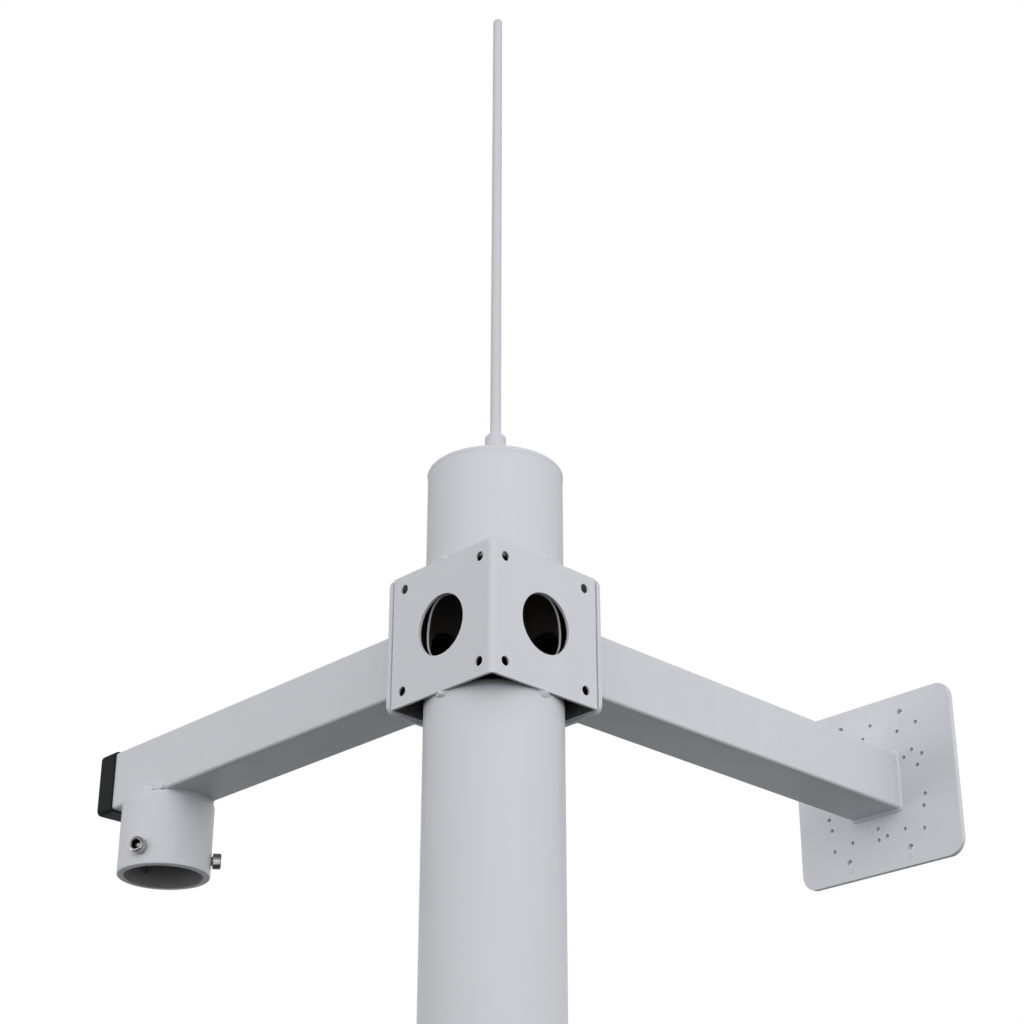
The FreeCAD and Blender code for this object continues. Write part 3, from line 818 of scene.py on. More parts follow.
def mark_paint_fade(piece: Piece, depth_at: Callable[[Vector, Vector], float]) -> None:
    """Writes how far the paint's fade goes at each corner: a hole wall's depth below the painted face, or
    a set depth that paints shade.

    Args:
        piece: The piece.
        depth_at: Depth in millimetres from a corner's place and its face's normal.
    """
    mesh = piece.data
    attribute = mesh.attributes.new(FADE_DEPTH, "FLOAT", "CORNER")
    for polygon in mesh.polygons:
        for index in polygon.loop_indices:
            spot = mesh.vertices[mesh.loops[index].vertex_index].co
            attribute.data[index].value = depth_at(spot, polygon.normal)


@dataclass(frozen=True)
class Station:
    """A place on a weld's root, with the directions of its two legs."""

    root: Vector
    out: Vector
    up: Vector


@dataclass(frozen=True)
class BeadShape:
    """The size and unevenness of a weld bead."""

    leg_out: float
    leg_up: float
    fullness: float
    ripple: float
    pitch: float
    wander: float
    seed: float
    steps: int = 8


def weld_bead(name: str, stations: Sequence[Station], shape: BeadShape, closed: bool) -> Piece:
    """Lays a rippled bead along a corner.

    Args:
        name: The object's name.
        stations: Places along the root, closely spaced.
        shape: The bead's size and unevenness.
        closed: Whether the bead runs round and meets itself.

    Returns:
        The bead.
    """
    rings = []
    run = 0.0
    last = len(stations) - 1
    for number, station in enumerate(stations):
        if number:
            run += (station.root - stations[number - 1].root).length
        drift = noise.noise(station.root * BEAD_NOISE_SCALE + Vector((shape.seed, 0, 0)))
        taper = 1.0
        if not closed:
            taper = min(1.0, END_TAPER + min(number, last - number) / max(1, last) * TAPER_GAIN)
        ring = []
        for angle in quarter_turn(shape.steps):
            phase = run / shape.pitch + RIPPLE_LAG * math.sin(2 * angle)
            ridge = 1 - abs(2 * (phase % 1) - 1)
            swell = taper * (1 + shape.wander * drift + shape.ripple * (ridge - 0.5))
            across = shape.leg_out * swell * max(0.0, math.cos(angle)) ** shape.fullness
            above = shape.leg_up * swell * math.sin(angle) ** shape.fullness
            ring.append(station.root + station.out * across + station.up * above)
        rings.append([*ring, station.root - (station.out + station.up) * OVERLAP])
    return evenly_shaded(skinned(name, rings, closed), 70.0)


def outline_stations(outline: Sequence[Point], matrix: Matrix, spacing: float = 0.7 * MM
                     ) -> list[Station]:
    """Weld stations all round an upright outline, outside it.

    Args:
        outline: The outline in the XY plane, anticlockwise.
        matrix: The move from that plane to the row frame.
        spacing: The distance between stations.

    Returns:
        The stations, with their up leg along the plane's Z axis.
    """
    turn = matrix.to_3x3()
    stations = []
    corners = at_level(outline, 0)
    for number, start in enumerate(corners):
        end = corners[(number + 1) % len(corners)]
        length = (end - start).length
        if length < 1e-9:
            continue
        out = Vector((end.y - start.y, start.x - end.x, 0)).normalized()
        pieces = max(1, round(length / spacing))
        for piece in range(pieces):
            spot = start.lerp(end, piece / pieces)
            stations.append(Station(matrix @ spot, turn @ out, turn @ UP))
    return stations


def lump(name: str, centre: Vector, size: Vector, seed: float, roughness: float) -> Piece:
    """A small uneven blob of weld or paint.

    Args:
        name: The object's name.
        centre: Its middle.
        size: Its half widths along X, Y and Z.
        seed: Where its unevenness is read.
        roughness: How uneven it is, as a share of its size.

    Returns:
        The blob.
    """
    work = bmesh.new()
    bmesh.ops.create_icosphere(work, subdivisions=4, radius=1.0)
    for vertex in work.verts:
        swell = 1 + roughness * noise.noise(vertex.co * 1.7 + Vector((seed, seed, 0)))
        vertex.co = centre + vertex.co * swell * size
    mesh = bpy.data.meshes.new(name)
    work.to_mesh(mesh)
    work.free()
    return evenly_shaded(linked(name, mesh), 80.0)


# The workshop that dresses and registers the pieces


class Workshop:
    """Knows the frame's bodies, builds each finish once and registers finished pieces."""

    def __init__(self, frame: dict) -> None:
        """Reads the bodies and builds the finishes.
        """
        bodies = frame["record"]["behaviour"]["bodies"]
        self.body_of = {node: body for body, nodes in bodies.items() for node in nodes}
        self.paint = PaintFinish().material()
        # The pole's paint fades to near black on the skin behind the bracket: thin paint there, and
        # painted shade.
        self.pole_paint_and_shade = PaintFinish("pole_paint_and_shade", fade_ragged=0.4, fade_steep=0.6).material()
        self.sheet_paint_and_shade = PaintFinish("sheet_paint_and_shade", fade_ragged=1.3).material()
        self.rod_paint = PaintFinish("rod_paint", (0.53, 0.541, 0.573, 1)).material()
        self.bead_paint = PaintFinish("painted_weld", roughness=0.42,
                                      relief=Relief.SPATTER).material()
        # Darker coat inside the collar, fading darker upwards: thin paint and painted shade.
        self.shaded_thin_coat = PaintFinish("shaded_thin_coat", (0.4, 0.402, 0.405, 1),
                                     bare_colour=(0.08, 0.081, 0.083, 1), fade_ragged=0.5,
                                     fade_steep=0.5).material()
        self.bare = BareSteelFinish().material()
        # Near-black steel for the arms' insides and the flange's hidden ring: painted shade on unpainted
        # steel.
        self.unlit = BareSteelFinish("unpainted_shaded_duct", (0.02, 0.019, 0.018, 1)).material()
        # Dark mottled sheet for the bracket's inner faces: overspray, and painted shade in the channels
        # round the pole.
        self.oversprayed_and_shaded = BareSteelFinish("oversprayed_shaded_sheet", (0.12, 0.12, 0.12, 1),
                                           spread=1.2, scale=160.0).material()
        self.dull_tip = BareSteelFinish("dull_screw_tip", (0.2, 0.2, 0.2, 1)).material()
        self.plastic = PlasticFinish().material()
        self.stainless = MetalFinish("turned_stainless", (0.62, 0.61, 0.6, 1), roughness=0.12,
                                     dark=(0.3, 0.295, 0.29, 1)).material()
        # Dark metal for the hex socket's walls and rim: painted shade in the recess.
        self.socket_shade = MetalFinish("socket_painted_shade", (0.09, 0.088, 0.085, 1), roughness=0.3,
                                 dark=(0.03, 0.03, 0.03, 1)).material()
        self.zinc = MetalFinish("zinc_plating", (0.34, 0.345, 0.35, 1), roughness=0.42,
                                dark=(0.16, 0.162, 0.165, 1), grain_scale=160.0).material()

    def register(self, piece: Piece, node: str, slot: Slot,
                 *materials: bpy.types.Material) -> None:
        """Gives a piece its materials, lets it ride on its body and hides the solid it dresses.

        Args:
            piece: The finished piece.
            node: The CAD node that it stands for.
            slot: The record's material slot; not used.
            *materials: The piece's materials.
        """
        numbers = [polygon.material_index for polygon in piece.data.polygons]
        piece.data.materials.clear()
        for material in materials:
            piece.data.materials.append(material)
        piece.data.polygons.foreach_set("material_index", numbers)
        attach(piece, self.body_of[node])
        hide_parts(node)
        LOG.info("%s stands for %s with %d faces", piece.name, node, len(numbers))


# The sub-assemblies


def shared(size: float) -> float:
    """A size that several sub-assemblies go by, set by its name only."""
    return field(default=size, kw_only=True)


@dataclass
class Assembly:
    """A sub-assembly: the workshop that registers its pieces, and the sizes it shares."""

    shop: Workshop
    head: float = shared(1000 * MM)
    inside: float = shared(70 * MM)
    sheet: float = shared(3 * MM)
    bolt_hole: float = shared(5 * MM)
    bolt_offset: float = shared(55 * MM)
    arm_half: float = shared(35 * MM)
    arm_corner: float = shared(4 * MM)


# The pole and what stands on it


@dataclass
class Pole(Assembly):
    """The round tube with its cable holes, and the welded cap on its end."""

    outer: float = 69.85 * MM
    wall: float = 2.5 * MM
    top: float = 1186 * MM
    hole: float = 32 * MM
    hole_band: float = 40 * MM
    cap_radius: float = 68.25 * MM
    cap_thickness: float = 4 * MM
    behind_sheet: float = 72.5 * MM
    # Where the skin behind the bracket darkens: thin paint and painted shade.
    spray_and_shade_reach: float = 9 * MM
    spray_and_shade_start: float = 1.3
    spray_and_shade_loss: float = 2.1
    bead_lap: float = 3.4
    bead_proud: float = 0.5
    bead_crown: float = 3.7
    rough_side: Vector = field(default_factory=lambda: Vector((-0.72, 0.69, 0)))
    segments: int = 240

    def build(self) -> None:
        """Builds the tube, the cap and the bead between them."""
        self._tube()
        self._cap()
        self._cap_bead()

    def _tube(self) -> None:
        """Turns the tube, cuts its four holes, leaves it bare inside and darkens its rear holes' walls as
        painted shade.
        """
        inner = self.outer - self.wall
        behind = self.behind_sheet
        deep = behind - self.spray_and_shade_reach
        rise = (-behind, -deep, -self.hole_band, self.hole_band, deep, behind)
        levels = [0, *(self.head + step for step in rise), self.top]
        inside = [self.top, self.head + self.hole_band, self.head - self.hole_band, 0]
        profile = [(self.outer, level) for level in levels] + [(inner, z) for z in inside]
        tube = lathe("painted_pole", profile, self.segments)
        cut_away(tube, [drill(self.hole, 4 * self.outer,
                              lifted(0, 0, self.head) @ upright_to(along), 96)
                        for along in Along])
        softened(tube, 0.5 * MM, 2, 40)
        skin = inner + self.wall / 8

        def bare_or_painted_shade(face: bpy.types.MeshPolygon) -> bool:
            """Whether a face lies inside the tube, on bare steel, or in a rear hole's wall, darkened as
            painted shade.

            Args:
                face: The face.

            Returns:
                Whether it is bare.
            """
            middle = Vector((face.center.x, face.center.y, 0))
            hidden = middle.length < skin and middle.dot(face.normal) < 0
            far = max(middle.x, middle.y) > 0.8 * inner and middle.length < self.outer - 0.3 * MM
            return hidden or (far and abs(face.center.z - self.head) < self.hole_band)

        # Inner faces take bare steel; the rear holes' walls take it as painted shade, the front ones stay
        # painted.
        choose_materials(tube, bare_or_painted_shade)
        # Darkens the skin behind the bracket's edges: thinner paint, and painted shade.
        mark_paint_fade(tube, self._thin_paint_and_shade_depth)
        self.shop.register(tube, "mast_pole", Slot.PAINT, self.shop.pole_paint_and_shade, self.shop.bare)

    def _thin_paint_and_shade_depth(self, spot: Vector, normal: Vector) -> float:
        """How far a corner of the tube's skin lies behind the bracket, where spray hardly gets and the
        skin is darkened as painted shade.

        Args:
            spot: The corner's place.
            normal: Its face's normal.

        Returns:
            The depth that the paint's fade reads, in millimetres.
        """
        flat = Vector((spot.x, spot.y, 0))
        if flat.length < self.outer - MM or flat.normalized().dot(normal) < FACING:
            return 0.0
        inside = self.behind_sheet - abs(spot.z - self.head)
        return self.spray_and_shade_start + self.spray_and_shade_loss * min(1.0, max(0.0, inside / self.spray_and_shade_reach))

    def _cap(self) -> None:
        """Turns the flat cap and registers it."""
        high = self.top + self.cap_thickness
        cap = lathe("painted_top_cap", [(0, self.top), (self.cap_radius, self.top),
                                        (self.cap_radius, high), (0, high)], self.segments)
        self.shop.register(softened(cap, 0.5 * MM), "top_cap", Slot.PAINT, self.shop.paint)

    def _cap_bead(self) -> None:
        """Lays the ground-down bead round the cap, uneven where it laps down the tube."""
        steps = 10
        segments = 2 * self.segments
        inner = self.cap_radius - 0.4 * MM
        rings = []
        for station in range(segments):
            ray = ray_at(FULL_TURN * station / segments)
            rough = 0.9 + 1.5 * max(0.0, ray.dot(self.rough_side)) ** 2
            wide = noise.noise(ray * 2.3 + Vector((4, 0, 0)))
            fine = rough * noise.noise(ray * 11)
            pits = rough * noise.noise(ray * 26 + Vector((0, 7, 0)))
            lap = (self.bead_lap + 2 * wide + 1.8 * fine) * MM
            proud = (self.bead_proud + 0.25 * fine + 0.3 * pits) * MM
            crown = (self.bead_crown + 0.25 * wide + 0.45 * pits) * MM
            ring = []
            for step in range(steps + 1):
                share = step / steps
                bulge = max(0.0, math.sin(share * math.pi)) ** 0.6 * (1 - share ** 4)
                fall = max(0.0, share - 0.55) / 0.45
                reach = self.outer + proud * bulge - (self.outer - inner) * fall ** 2.2
                ring.append(ray * reach + UP * (self.top - lap + (lap + crown) * share ** 0.8))
            rings.append([*ring, ray * (inner - OVERLAP) + UP * (self.top + OVERLAP / 2)])
        bead = evenly_shaded(skinned("cap_bead", rings, True), 75.0)
        self.shop.register(bead, "top_cap_weld", Slot.PAINT, self.shop.bead_paint)


@dataclass
class LightningRod(Assembly):
    """The thin rod, the socket that holds it and the beads at its foot and neck."""

    base: float = 1190 * MM
    socket_radius: float = 11 * MM
    socket_height: float = 46 * MM
    chamfer: float = 2 * MM
    rod_radius: float = 5.7 * MM
    end_radius: float = 5.1 * MM
    tip_round: float = 4 * MM
    rod_length: float = 598.5 * MM
    neck_rise: float = 3 * MM
    segments: int = 64

    def build(self) -> None:
        """Builds the socket, the rod and the two beads."""
        top = self.base + self.socket_height
        bore = self.rod_radius + 0.1 * MM
        socket = lathe("rod_socket_turned", [
            (bore, self.base), (self.socket_radius, self.base),
            (self.socket_radius, top - self.chamfer),
            (self.socket_radius - self.chamfer, top), (bore, top)], self.segments)
        self.shop.register(softened(socket, 0.4 * MM), "rod_socket", Slot.PAINT, self.shop.rod_paint)
        end = self.base + self.rod_length
        tip = [(self.end_radius - self.tip_round * (1 - math.cos(a)),
                end + self.tip_round * (math.sin(a) - 1)) for a in quarter_turn(10)]
        rod = lathe("painted_rod", [(0, self.base), (self.rod_radius, self.base),
                                    (self.rod_radius, top + self.neck_rise), *tip, (0, end)],
                    self.segments)
        self.shop.register(evenly_shaded(rod), "lightning_rod", Slot.PAINT, self.shop.rod_paint)
        neck = self._ring("rod_neck_bead", self.rod_radius, top, BeadShape(
            self.neck_rise, self.neck_rise, 1.5, 0.05, 2 * MM, 0.3, 3.0))
        self.shop.register(neck, "rod_weld", Slot.PAINT, self.shop.bead_paint)
        foot = self._ring("rod_foot_bead", self.socket_radius, self.base, BeadShape(
            4 * MM, 4 * MM, 1.2, 0.1, 2.4 * MM, 0.2, 8.0))
        self.shop.register(foot, "rod_socket_weld", Slot.PAINT, self.shop.bead_paint)

    @staticmethod
    def _ring(name: str, radius: float, height: float, shape: BeadShape) -> Piece:
        """Lays a bead round an upright piece.

        Args:
            name: The bead's name.
            radius: The upright piece's radius.
            height: The level that it stands on.
            shape: The bead's size.

        Returns:
            The bead.
        """
        count = max(48, round(FULL_TURN * radius / (0.6 * MM)))
        rays = [ray_at(FULL_TURN * number / count) for number in range(count)]
        stations = [Station(ray * radius + UP * height, ray, UP) for ray in rays]
        return weld_bead(name, stations, shape, True)


# The folded bracket


@dataclass
class Bracket(Assembly):
    """The two folded sheets round the pole, and the tack welds that hold them."""

    height: float = 141 * MM
    bend: float = 3 * MM
    edge_gap: float = 2.3 * MM
    painted_wall: float = 3.0
    painted_bolt_wall: float = 1.8
    paint_edge: float = 1.5
    rear_wall_shade_depth: float = 3.0
    cable_hole: float = 32 * MM
    tack: Vector = field(default_factory=lambda: Vector((7.1, 9.2, 6.8)) * MM)
    tack_seat: float = 66.2 * MM
    tack_back: float = 68.2 * MM
    upper_tack: Vector = field(default_factory=lambda: Vector((2.9, 6.8, 3.4)) * MM)

    @property
    def outside(self) -> float:
        """The sheets' outer face, from the pole's axis."""
        return self.inside + self.sheet

    def build(self) -> None:
        """Builds both sheets and the tack welds."""
        for name, side, reach in (("front", -1, self.outside - self.edge_gap),
                                  ("rear", 1, self.inside)):
            self.shop.register(self._sheet(name + "_sheet_folded", side, reach),
                               name + "_bracket_sheet", Slot.PAINT, self.shop.sheet_paint_and_shade,
                               self.shop.oversprayed_and_shaded)
        self._tacks()

    def _sheet(self, name: str, side: int, reach: float) -> Piece:
        """Folds one sheet, drills it and rounds its edges.

        Args:
            name: The sheet's name.
            side: -1 for the front fold and 1 for the rear one.
            reach: How far each panel runs past the pole's centre lines.

        Returns:
            The sheet.
        """
        centre = self.inside - self.bend
        outer_arc, inner_arc = (
            [(side * (centre + radius * math.cos(a)), side * (centre + radius * math.sin(a)))
             for a in quarter_turn(10)] for radius in (self.bend + self.sheet, self.bend))
        outline = [(side * self.outside, -side * reach), *outer_arc,
                   (-side * reach, side * self.outside), (-side * reach, side * self.inside),
                   *reversed(inner_arc), (side * self.inside, -side * reach)]
        half = self.height / 2
        piece = prism(name, outline, self.head - half, self.head + half)
        tools = []
        for along in Along:
            middle = self.inside * side
            shift = (middle, 0) if along is Along.X else (0, middle)
            place = lifted(*shift, self.head) @ upright_to(along)
            tools.append(drill(self.cable_hole, 8 * self.sheet, place, 96))
            tools += [drill(self.bolt_hole, 8 * self.sheet, place @ spot, 40)
                      for spot in four_places(self.bolt_offset, self.bolt_offset)]
        cut_away(piece, tools)
        softened(piece, 0.35 * MM, 2, 40)
        mark_paint_fade(piece, lambda spot, normal: self._wall_depth(spot, normal, side))
        # Inner faces take the dark overspray material: thin paint and painted shade.
        skin = self.inside + self.sheet / 4
        choose_materials(piece, lambda face: (
            max(face.center.x * side, face.center.y * side) < skin
            and side * (face.normal.x + face.normal.y) < -0.5))
        return piece

    def _wall_depth(self, spot: Vector, normal: Vector, side: int) -> float:
        """How deep a corner of a hole's wall lies below the sheet's outer face.

        Args:
            spot: The corner's place.
            normal: Its face's normal.
            side: The sheet's side.

        Returns:
            The depth that the paint's fade reads, or 0 away from the holes' walls.
        """
        # Hole walls go near black past the painted depth: bare steel with painted shade.
        for axis in (0, 1):
            depth = self.outside - side * spot[axis]
            if abs(normal[axis]) >= 0.3 or depth >= self.sheet + MM:
                continue
            share = self.paint_edge * max(0.0, depth / MM)
            flat = Vector((spot[1 - axis], spot.z - self.head))
            if -0.1 * MM < flat.length - self.cable_hole < 0.5 * MM and depth > -MM:
                # The rear sheet's cable-hole walls are made fully dark as painted shade.
                return share / self.painted_wall if side < 0 else self.rear_wall_shade_depth
            off_bolt = max(abs(abs(flat.x) - self.bolt_offset),
                           abs(abs(flat.y) - self.bolt_offset))
            if flat.length > 1.5 * self.cable_hole and off_bolt < self.bolt_hole + MM:
                return share / self.painted_bolt_wall
        return 0.0

    def _tacks(self) -> None:
        """Puts an uneven tack at the middle of each panel's upper and lower edge."""
        blobs = []
        for number, (x, y) in enumerate(((-1, 0), (0, -1), (1, 0), (0, 1))):
            out = Vector((x, y, 0))
            for up in (-1, 1):
                size = (self.tack if up < 0 else self.upper_tack).copy()
                seat = self.tack_seat if up < 0 else self.inside + self.sheet / 8
                if y:
                    size.x, size.y = size.y, size.x
                centre = out * seat + UP * (self.head + up * self.height / 2)
                blob = lump("tack", centre, size, 3.1 * number + up, 0.16)
                for vertex in blob.data.vertices:
                    vertex.co += out * max(0.0, self.tack_back - vertex.co.dot(out))
                blobs.append(blob)
        self.shop.register(evenly_shaded(joined("tack_beads", blobs), 80.0), "pole_tack_welds",
                           Slot.PAINT, self.shop.bead_paint)


# The arms


@dataclass
class Arm(Assembly):
    """A square arm with its flange, its bead and its bolts, along X or Y."""

    along: Along
    side: str
    length: float
    flange_thickness: float = 5 * MM
    flange_width: float = 144 * MM
    flange_height: float = 147 * MM
    flange_corner: float = 10 * MM
    cable_hole: float = 28 * MM
    wall: float = 3 * MM
    weld_leg: float = 5 * MM
    bare_shaded_ring: float = 38 * MM
    film: float = 0.05 * MM

    @property
    def lay(self) -> Matrix:
        """The move from an upright piece at the origin to this arm's line."""
        return lifted(0, 0, self.head) @ upright_to(self.along)

    @property
    def start(self) -> float:
        """Where the tube starts, from the pole's axis."""
        return self.inside + self.sheet + self.flange_thickness

    def build(self, holes: Sequence[Piece] = ()) -> None:
        """Builds the flange, the tube, the bead and the fasteners.

        Args:
            holes: Further tools that are cut out of the tube.
        """
        self._flange()
        outline = rounded_square(self.arm_half, self.arm_corner)
        inner = self.arm_half - self.wall
        tube = prism(self.side + "_arm_square_tube", outline, self.start,
                     self.start + self.length, rounded_square(inner, self.arm_corner - self.wall))
        turned(tube, self.lay)
        cut_away(tube, holes)
        softened(tube, 0.4 * MM, 2, 40)
        back = self.lay.inverted()
        skin = inner + self.wall / 8
        # The tube's inner faces take the near-black material: painted shade inside the tube.
        choose_materials(tube, lambda face: max(
            abs(value) for value in (back @ face.center).to_2d()) < skin)
        self.shop.register(tube, self.side + "_arm_tube", Slot.PAINT, self.shop.paint, self.shop.unlit)
        seed = 2.0 if self.along is Along.X else 5.0
        bead = weld_bead(
            self.side + "_flange_bead",
            outline_stations(outline, self.lay @ lifted(0, 0, self.start)),
            BeadShape(self.weld_leg, self.weld_leg, 1.3, 0.12, 2.8 * MM, 0.16, seed), True)
        self.shop.register(bead, self.side + "_arm_weld", Slot.PAINT, self.shop.bead_paint)
        Fasteners(self.shop, self).build()

    def _flange(self) -> None:
        """Cuts the flange plate, drills it, rounds its edges and darkens it at its hole and in a ring
        behind it, as painted shade on bare steel.
        """
        near = self.inside + self.sheet
        far = self.flange_width - near
        low, high = (-near, far) if self.along is Along.X else (-far, near)
        rise = self.flange_height / 2
        outline = rounded_rectangle((low, -rise), (high, rise), self.flange_corner, 10)
        plate = prism(self.side + "_flange_plate", outline, near, self.start)
        level = near + self.flange_thickness / 2
        length = 4 * self.flange_thickness
        tools = [drill(self.cable_hole, length, lifted(0, 0, level), 96)]
        tools += [drill(self.bolt_hole, length, spot, 40)
                  for spot in four_places(self.bolt_offset, self.bolt_offset, level)]
        cut_away(plate, tools)
        softened(plate, 0.6 * MM, 3, 40)
        cut_away(plate, [drill(self.bare_shaded_ring, 2 * self.film, lifted(0, 0, near), 96)])
        evenly_shaded(plate)

        def bare_or_painted_shade(face: bpy.types.MeshPolygon) -> bool:
            """Whether a face lies in the cable hole's wall or in the ring behind it, both darkened as
            painted shade.

            Args:
                face: The face.

            Returns:
                Whether it is bare.
            """
            close = face.center.to_2d().length < self.cable_hole + 0.3 * MM
            behind = face.normal.z < -LEVEL and face.center.z > near + self.film / 2
            return behind or (close and abs(face.normal.z) < LEVEL)

        choose_materials(plate, bare_or_painted_shade)
        self.shop.register(turned(plate, self.lay), self.side + "_arm_flange", Slot.PAINT, self.shop.paint,
                           self.shop.unlit)


def hexagon_reach(flats: float, angle: float) -> float:
    """A hexagon's radius at an angle, by its width over two flats, which stand upright."""
    sixth = FULL_TURN / 6
    return flats / 2 / math.cos((angle + sixth / 2) % sixth - sixth / 2)


def hexagon_piece(name: str, flats: float, low: float, high: float, bore: float = 0.0,
                  segments: int = 72) -> Piece:
    """A hexagonal head, or a nut where it has a bore, with its corners turned off at a slant.

    Args:
        name: The object's name.
        flats: The width over two flats.
        low: The lower face's height.
        high: The upper face's height.
        bore: The radius of a through bore, or 0.
        segments: The steps round.

    Returns:
        The object.
    """
    seat = flats / 2 * SEAT_SHARE
    angles = [FULL_TURN * step / segments for step in range(segments)]
    rise = [(hexagon_reach(flats, a) - seat) * math.tan(math.radians(CORNER_SLANT_DEG)) for a in angles]

    def hexagonal(levels: Sequence[float]) -> list[Vector]:
        """A ring with the hexagon's outline, at a level for each step round."""
        return [ray_at(a) * hexagon_reach(flats, a) + UP * z for a, z in zip(angles, levels)]

    def round_ring(radius: float, level: float) -> list[Vector]:
        """A round ring."""
        return [ray_at(a) * radius + UP * level for a in angles]

    rings = [hexagonal([low] * segments)]
    if bore:
        rings = [round_ring(seat, low), hexagonal([low + step for step in rise])]
    rings += [hexagonal([high - step for step in rise]), round_ring(seat, high)]
    if bore:
        lead = 0.6 * MM
        rings += [round_ring(bore + lead, high), round_ring(bore, high - lead),
                  round_ring(bore, low + lead), round_ring(bore + lead, low)]
    return evenly_shaded(skinned(name, rings, bool(bore)), 28.0)


def threaded_shank(radius: float, pitch: float, low: float, high: float,
                   segments: int = 40) -> Piece:
    """A shank with a real thread, closed and chamfered at both ends.

    Args:
        radius: The thread's outer radius.
        pitch: The rise of one turn.
        low: The lower end's height.
        high: The upper end's height.
        segments: The steps of one turn.

    Returns:
        The shank.
    """
    depth = THREAD_DEPTH * pitch
    rows = max(2, round((high - low) / pitch * ROWS_A_PITCH))
    rings = []
    for row in range(rows + 1):
        height = low + (high - low) * row / rows
        limit = radius - depth + min(height - low, high - height)
        ring = []
        for step in range(segments):
            ridge = abs(2 * ((height / pitch - step / segments) % 1) - 1)
            reach = min(radius - depth * min(1.0, max(0.0, 1.25 * ridge - 0.1)), limit)
            ring.append(ray_at(FULL_TURN * step / segments) * reach + UP * height)
        rings.append(ring)
    return evenly_shaded(skinned("shank", rings), 60.0)


@dataclass
class Fasteners(Assembly):
    """The four bolts, washers and nuts of one flange."""

    arm: Arm
    radius: float = 4 * MM
    pitch: float = 1.25 * MM
    flats: float = 13 * MM
    head_height: float = 5.3 * MM
    nut_height: float = 6.8 * MM
    end: float = 2 * MM
    washer_radius: float = 8 * MM
    washer_hole: float = 4.2 * MM
    washer_thickness: float = 1.6 * MM

    def build(self) -> None:
        """Builds the three groups."""
        for kind, make, angle in (("bolts", self._bolt, 40.0), ("washers", self._washer, 40.0),
                                  ("nuts", self._nut, 28.0)):
            copies = [turned(make(), self.arm.lay @ spot)
                      for spot in four_places(self.arm.bolt_offset, self.arm.bolt_offset)]
            group = joined(self.arm.side + "_m8_" + kind, copies)
            self.shop.register(evenly_shaded(group, angle), self.arm.side + "_flange_" + kind,
                               Slot.ZINC, self.shop.zinc)

    def _bolt(self) -> Piece:
        """Joins one bolt's head and shank."""
        seat = self.arm.start + self.washer_thickness
        tip = self.arm.inside - self.nut_height - self.end
        return joined("bolt", [hexagon_piece("head", self.flats, seat, seat + self.head_height),
                               threaded_shank(self.radius, self.pitch, tip, seat)])

    def _nut(self) -> Piece:
        """Turns one nut."""
        return hexagon_piece("nut", self.flats, self.arm.inside - self.nut_height,
                             self.arm.inside, self.radius + 0.05 * MM)

    def _washer(self) -> Piece:
        """Turns one washer."""
        low = self.arm.start
        high = low + self.washer_thickness
        return softened(lathe("washer", [
            (self.washer_hole, low), (self.washer_radius, low), (self.washer_radius, high),
            (self.washer_hole, high)], 48), 0.25 * MM)


@dataclass
class EndCap(Assembly):
    """The black push-on cap at the left arm's end."""

    arm_end: float = 636 * MM
    sleeve: float = 26 * MM
    end_wall: float = 4 * MM
    half: float = 37.1 * MM
    inner_half: float = 35.1 * MM
    corner: float = 6.1 * MM
    inner_corner: float = 4.1 * MM
    round_edge: float = 3 * MM

    def build(self) -> None:
        """Builds the cap's outside and hollow, with a moulded round to its end."""
        low = self.arm_end - self.sleeve
        high = self.arm_end + self.end_wall
        sections = [(low, 0.7 * MM), (low + 0.25 * MM, 0.25 * MM), (low + 0.9 * MM, 0.0)]
        sections += [(high - self.round_edge * (1 - math.sin(a)),
                      self.round_edge * (1 - math.cos(a))) for a in quarter_turn(6)]
        hollow = rounded_square(self.inner_half, self.inner_corner, 10)
        rings = [at_level(hollow, level) for level in (self.arm_end, low)]
        for level, inset in sections:
            corner = max(MM, self.corner - inset * 0.6)
            rings.append(at_level(rounded_square(self.half - inset, corner, 10), level))
        cap = turned(skinned("black_end_cap", rings),
                     lifted(0, 0, self.head) @ upright_to(Along.Y))
        self.shop.register(evenly_shaded(cap, 60.0), "arm_end_cap", Slot.BLACK_PLASTIC, self.shop.plastic)


# The collar and its clamp screws


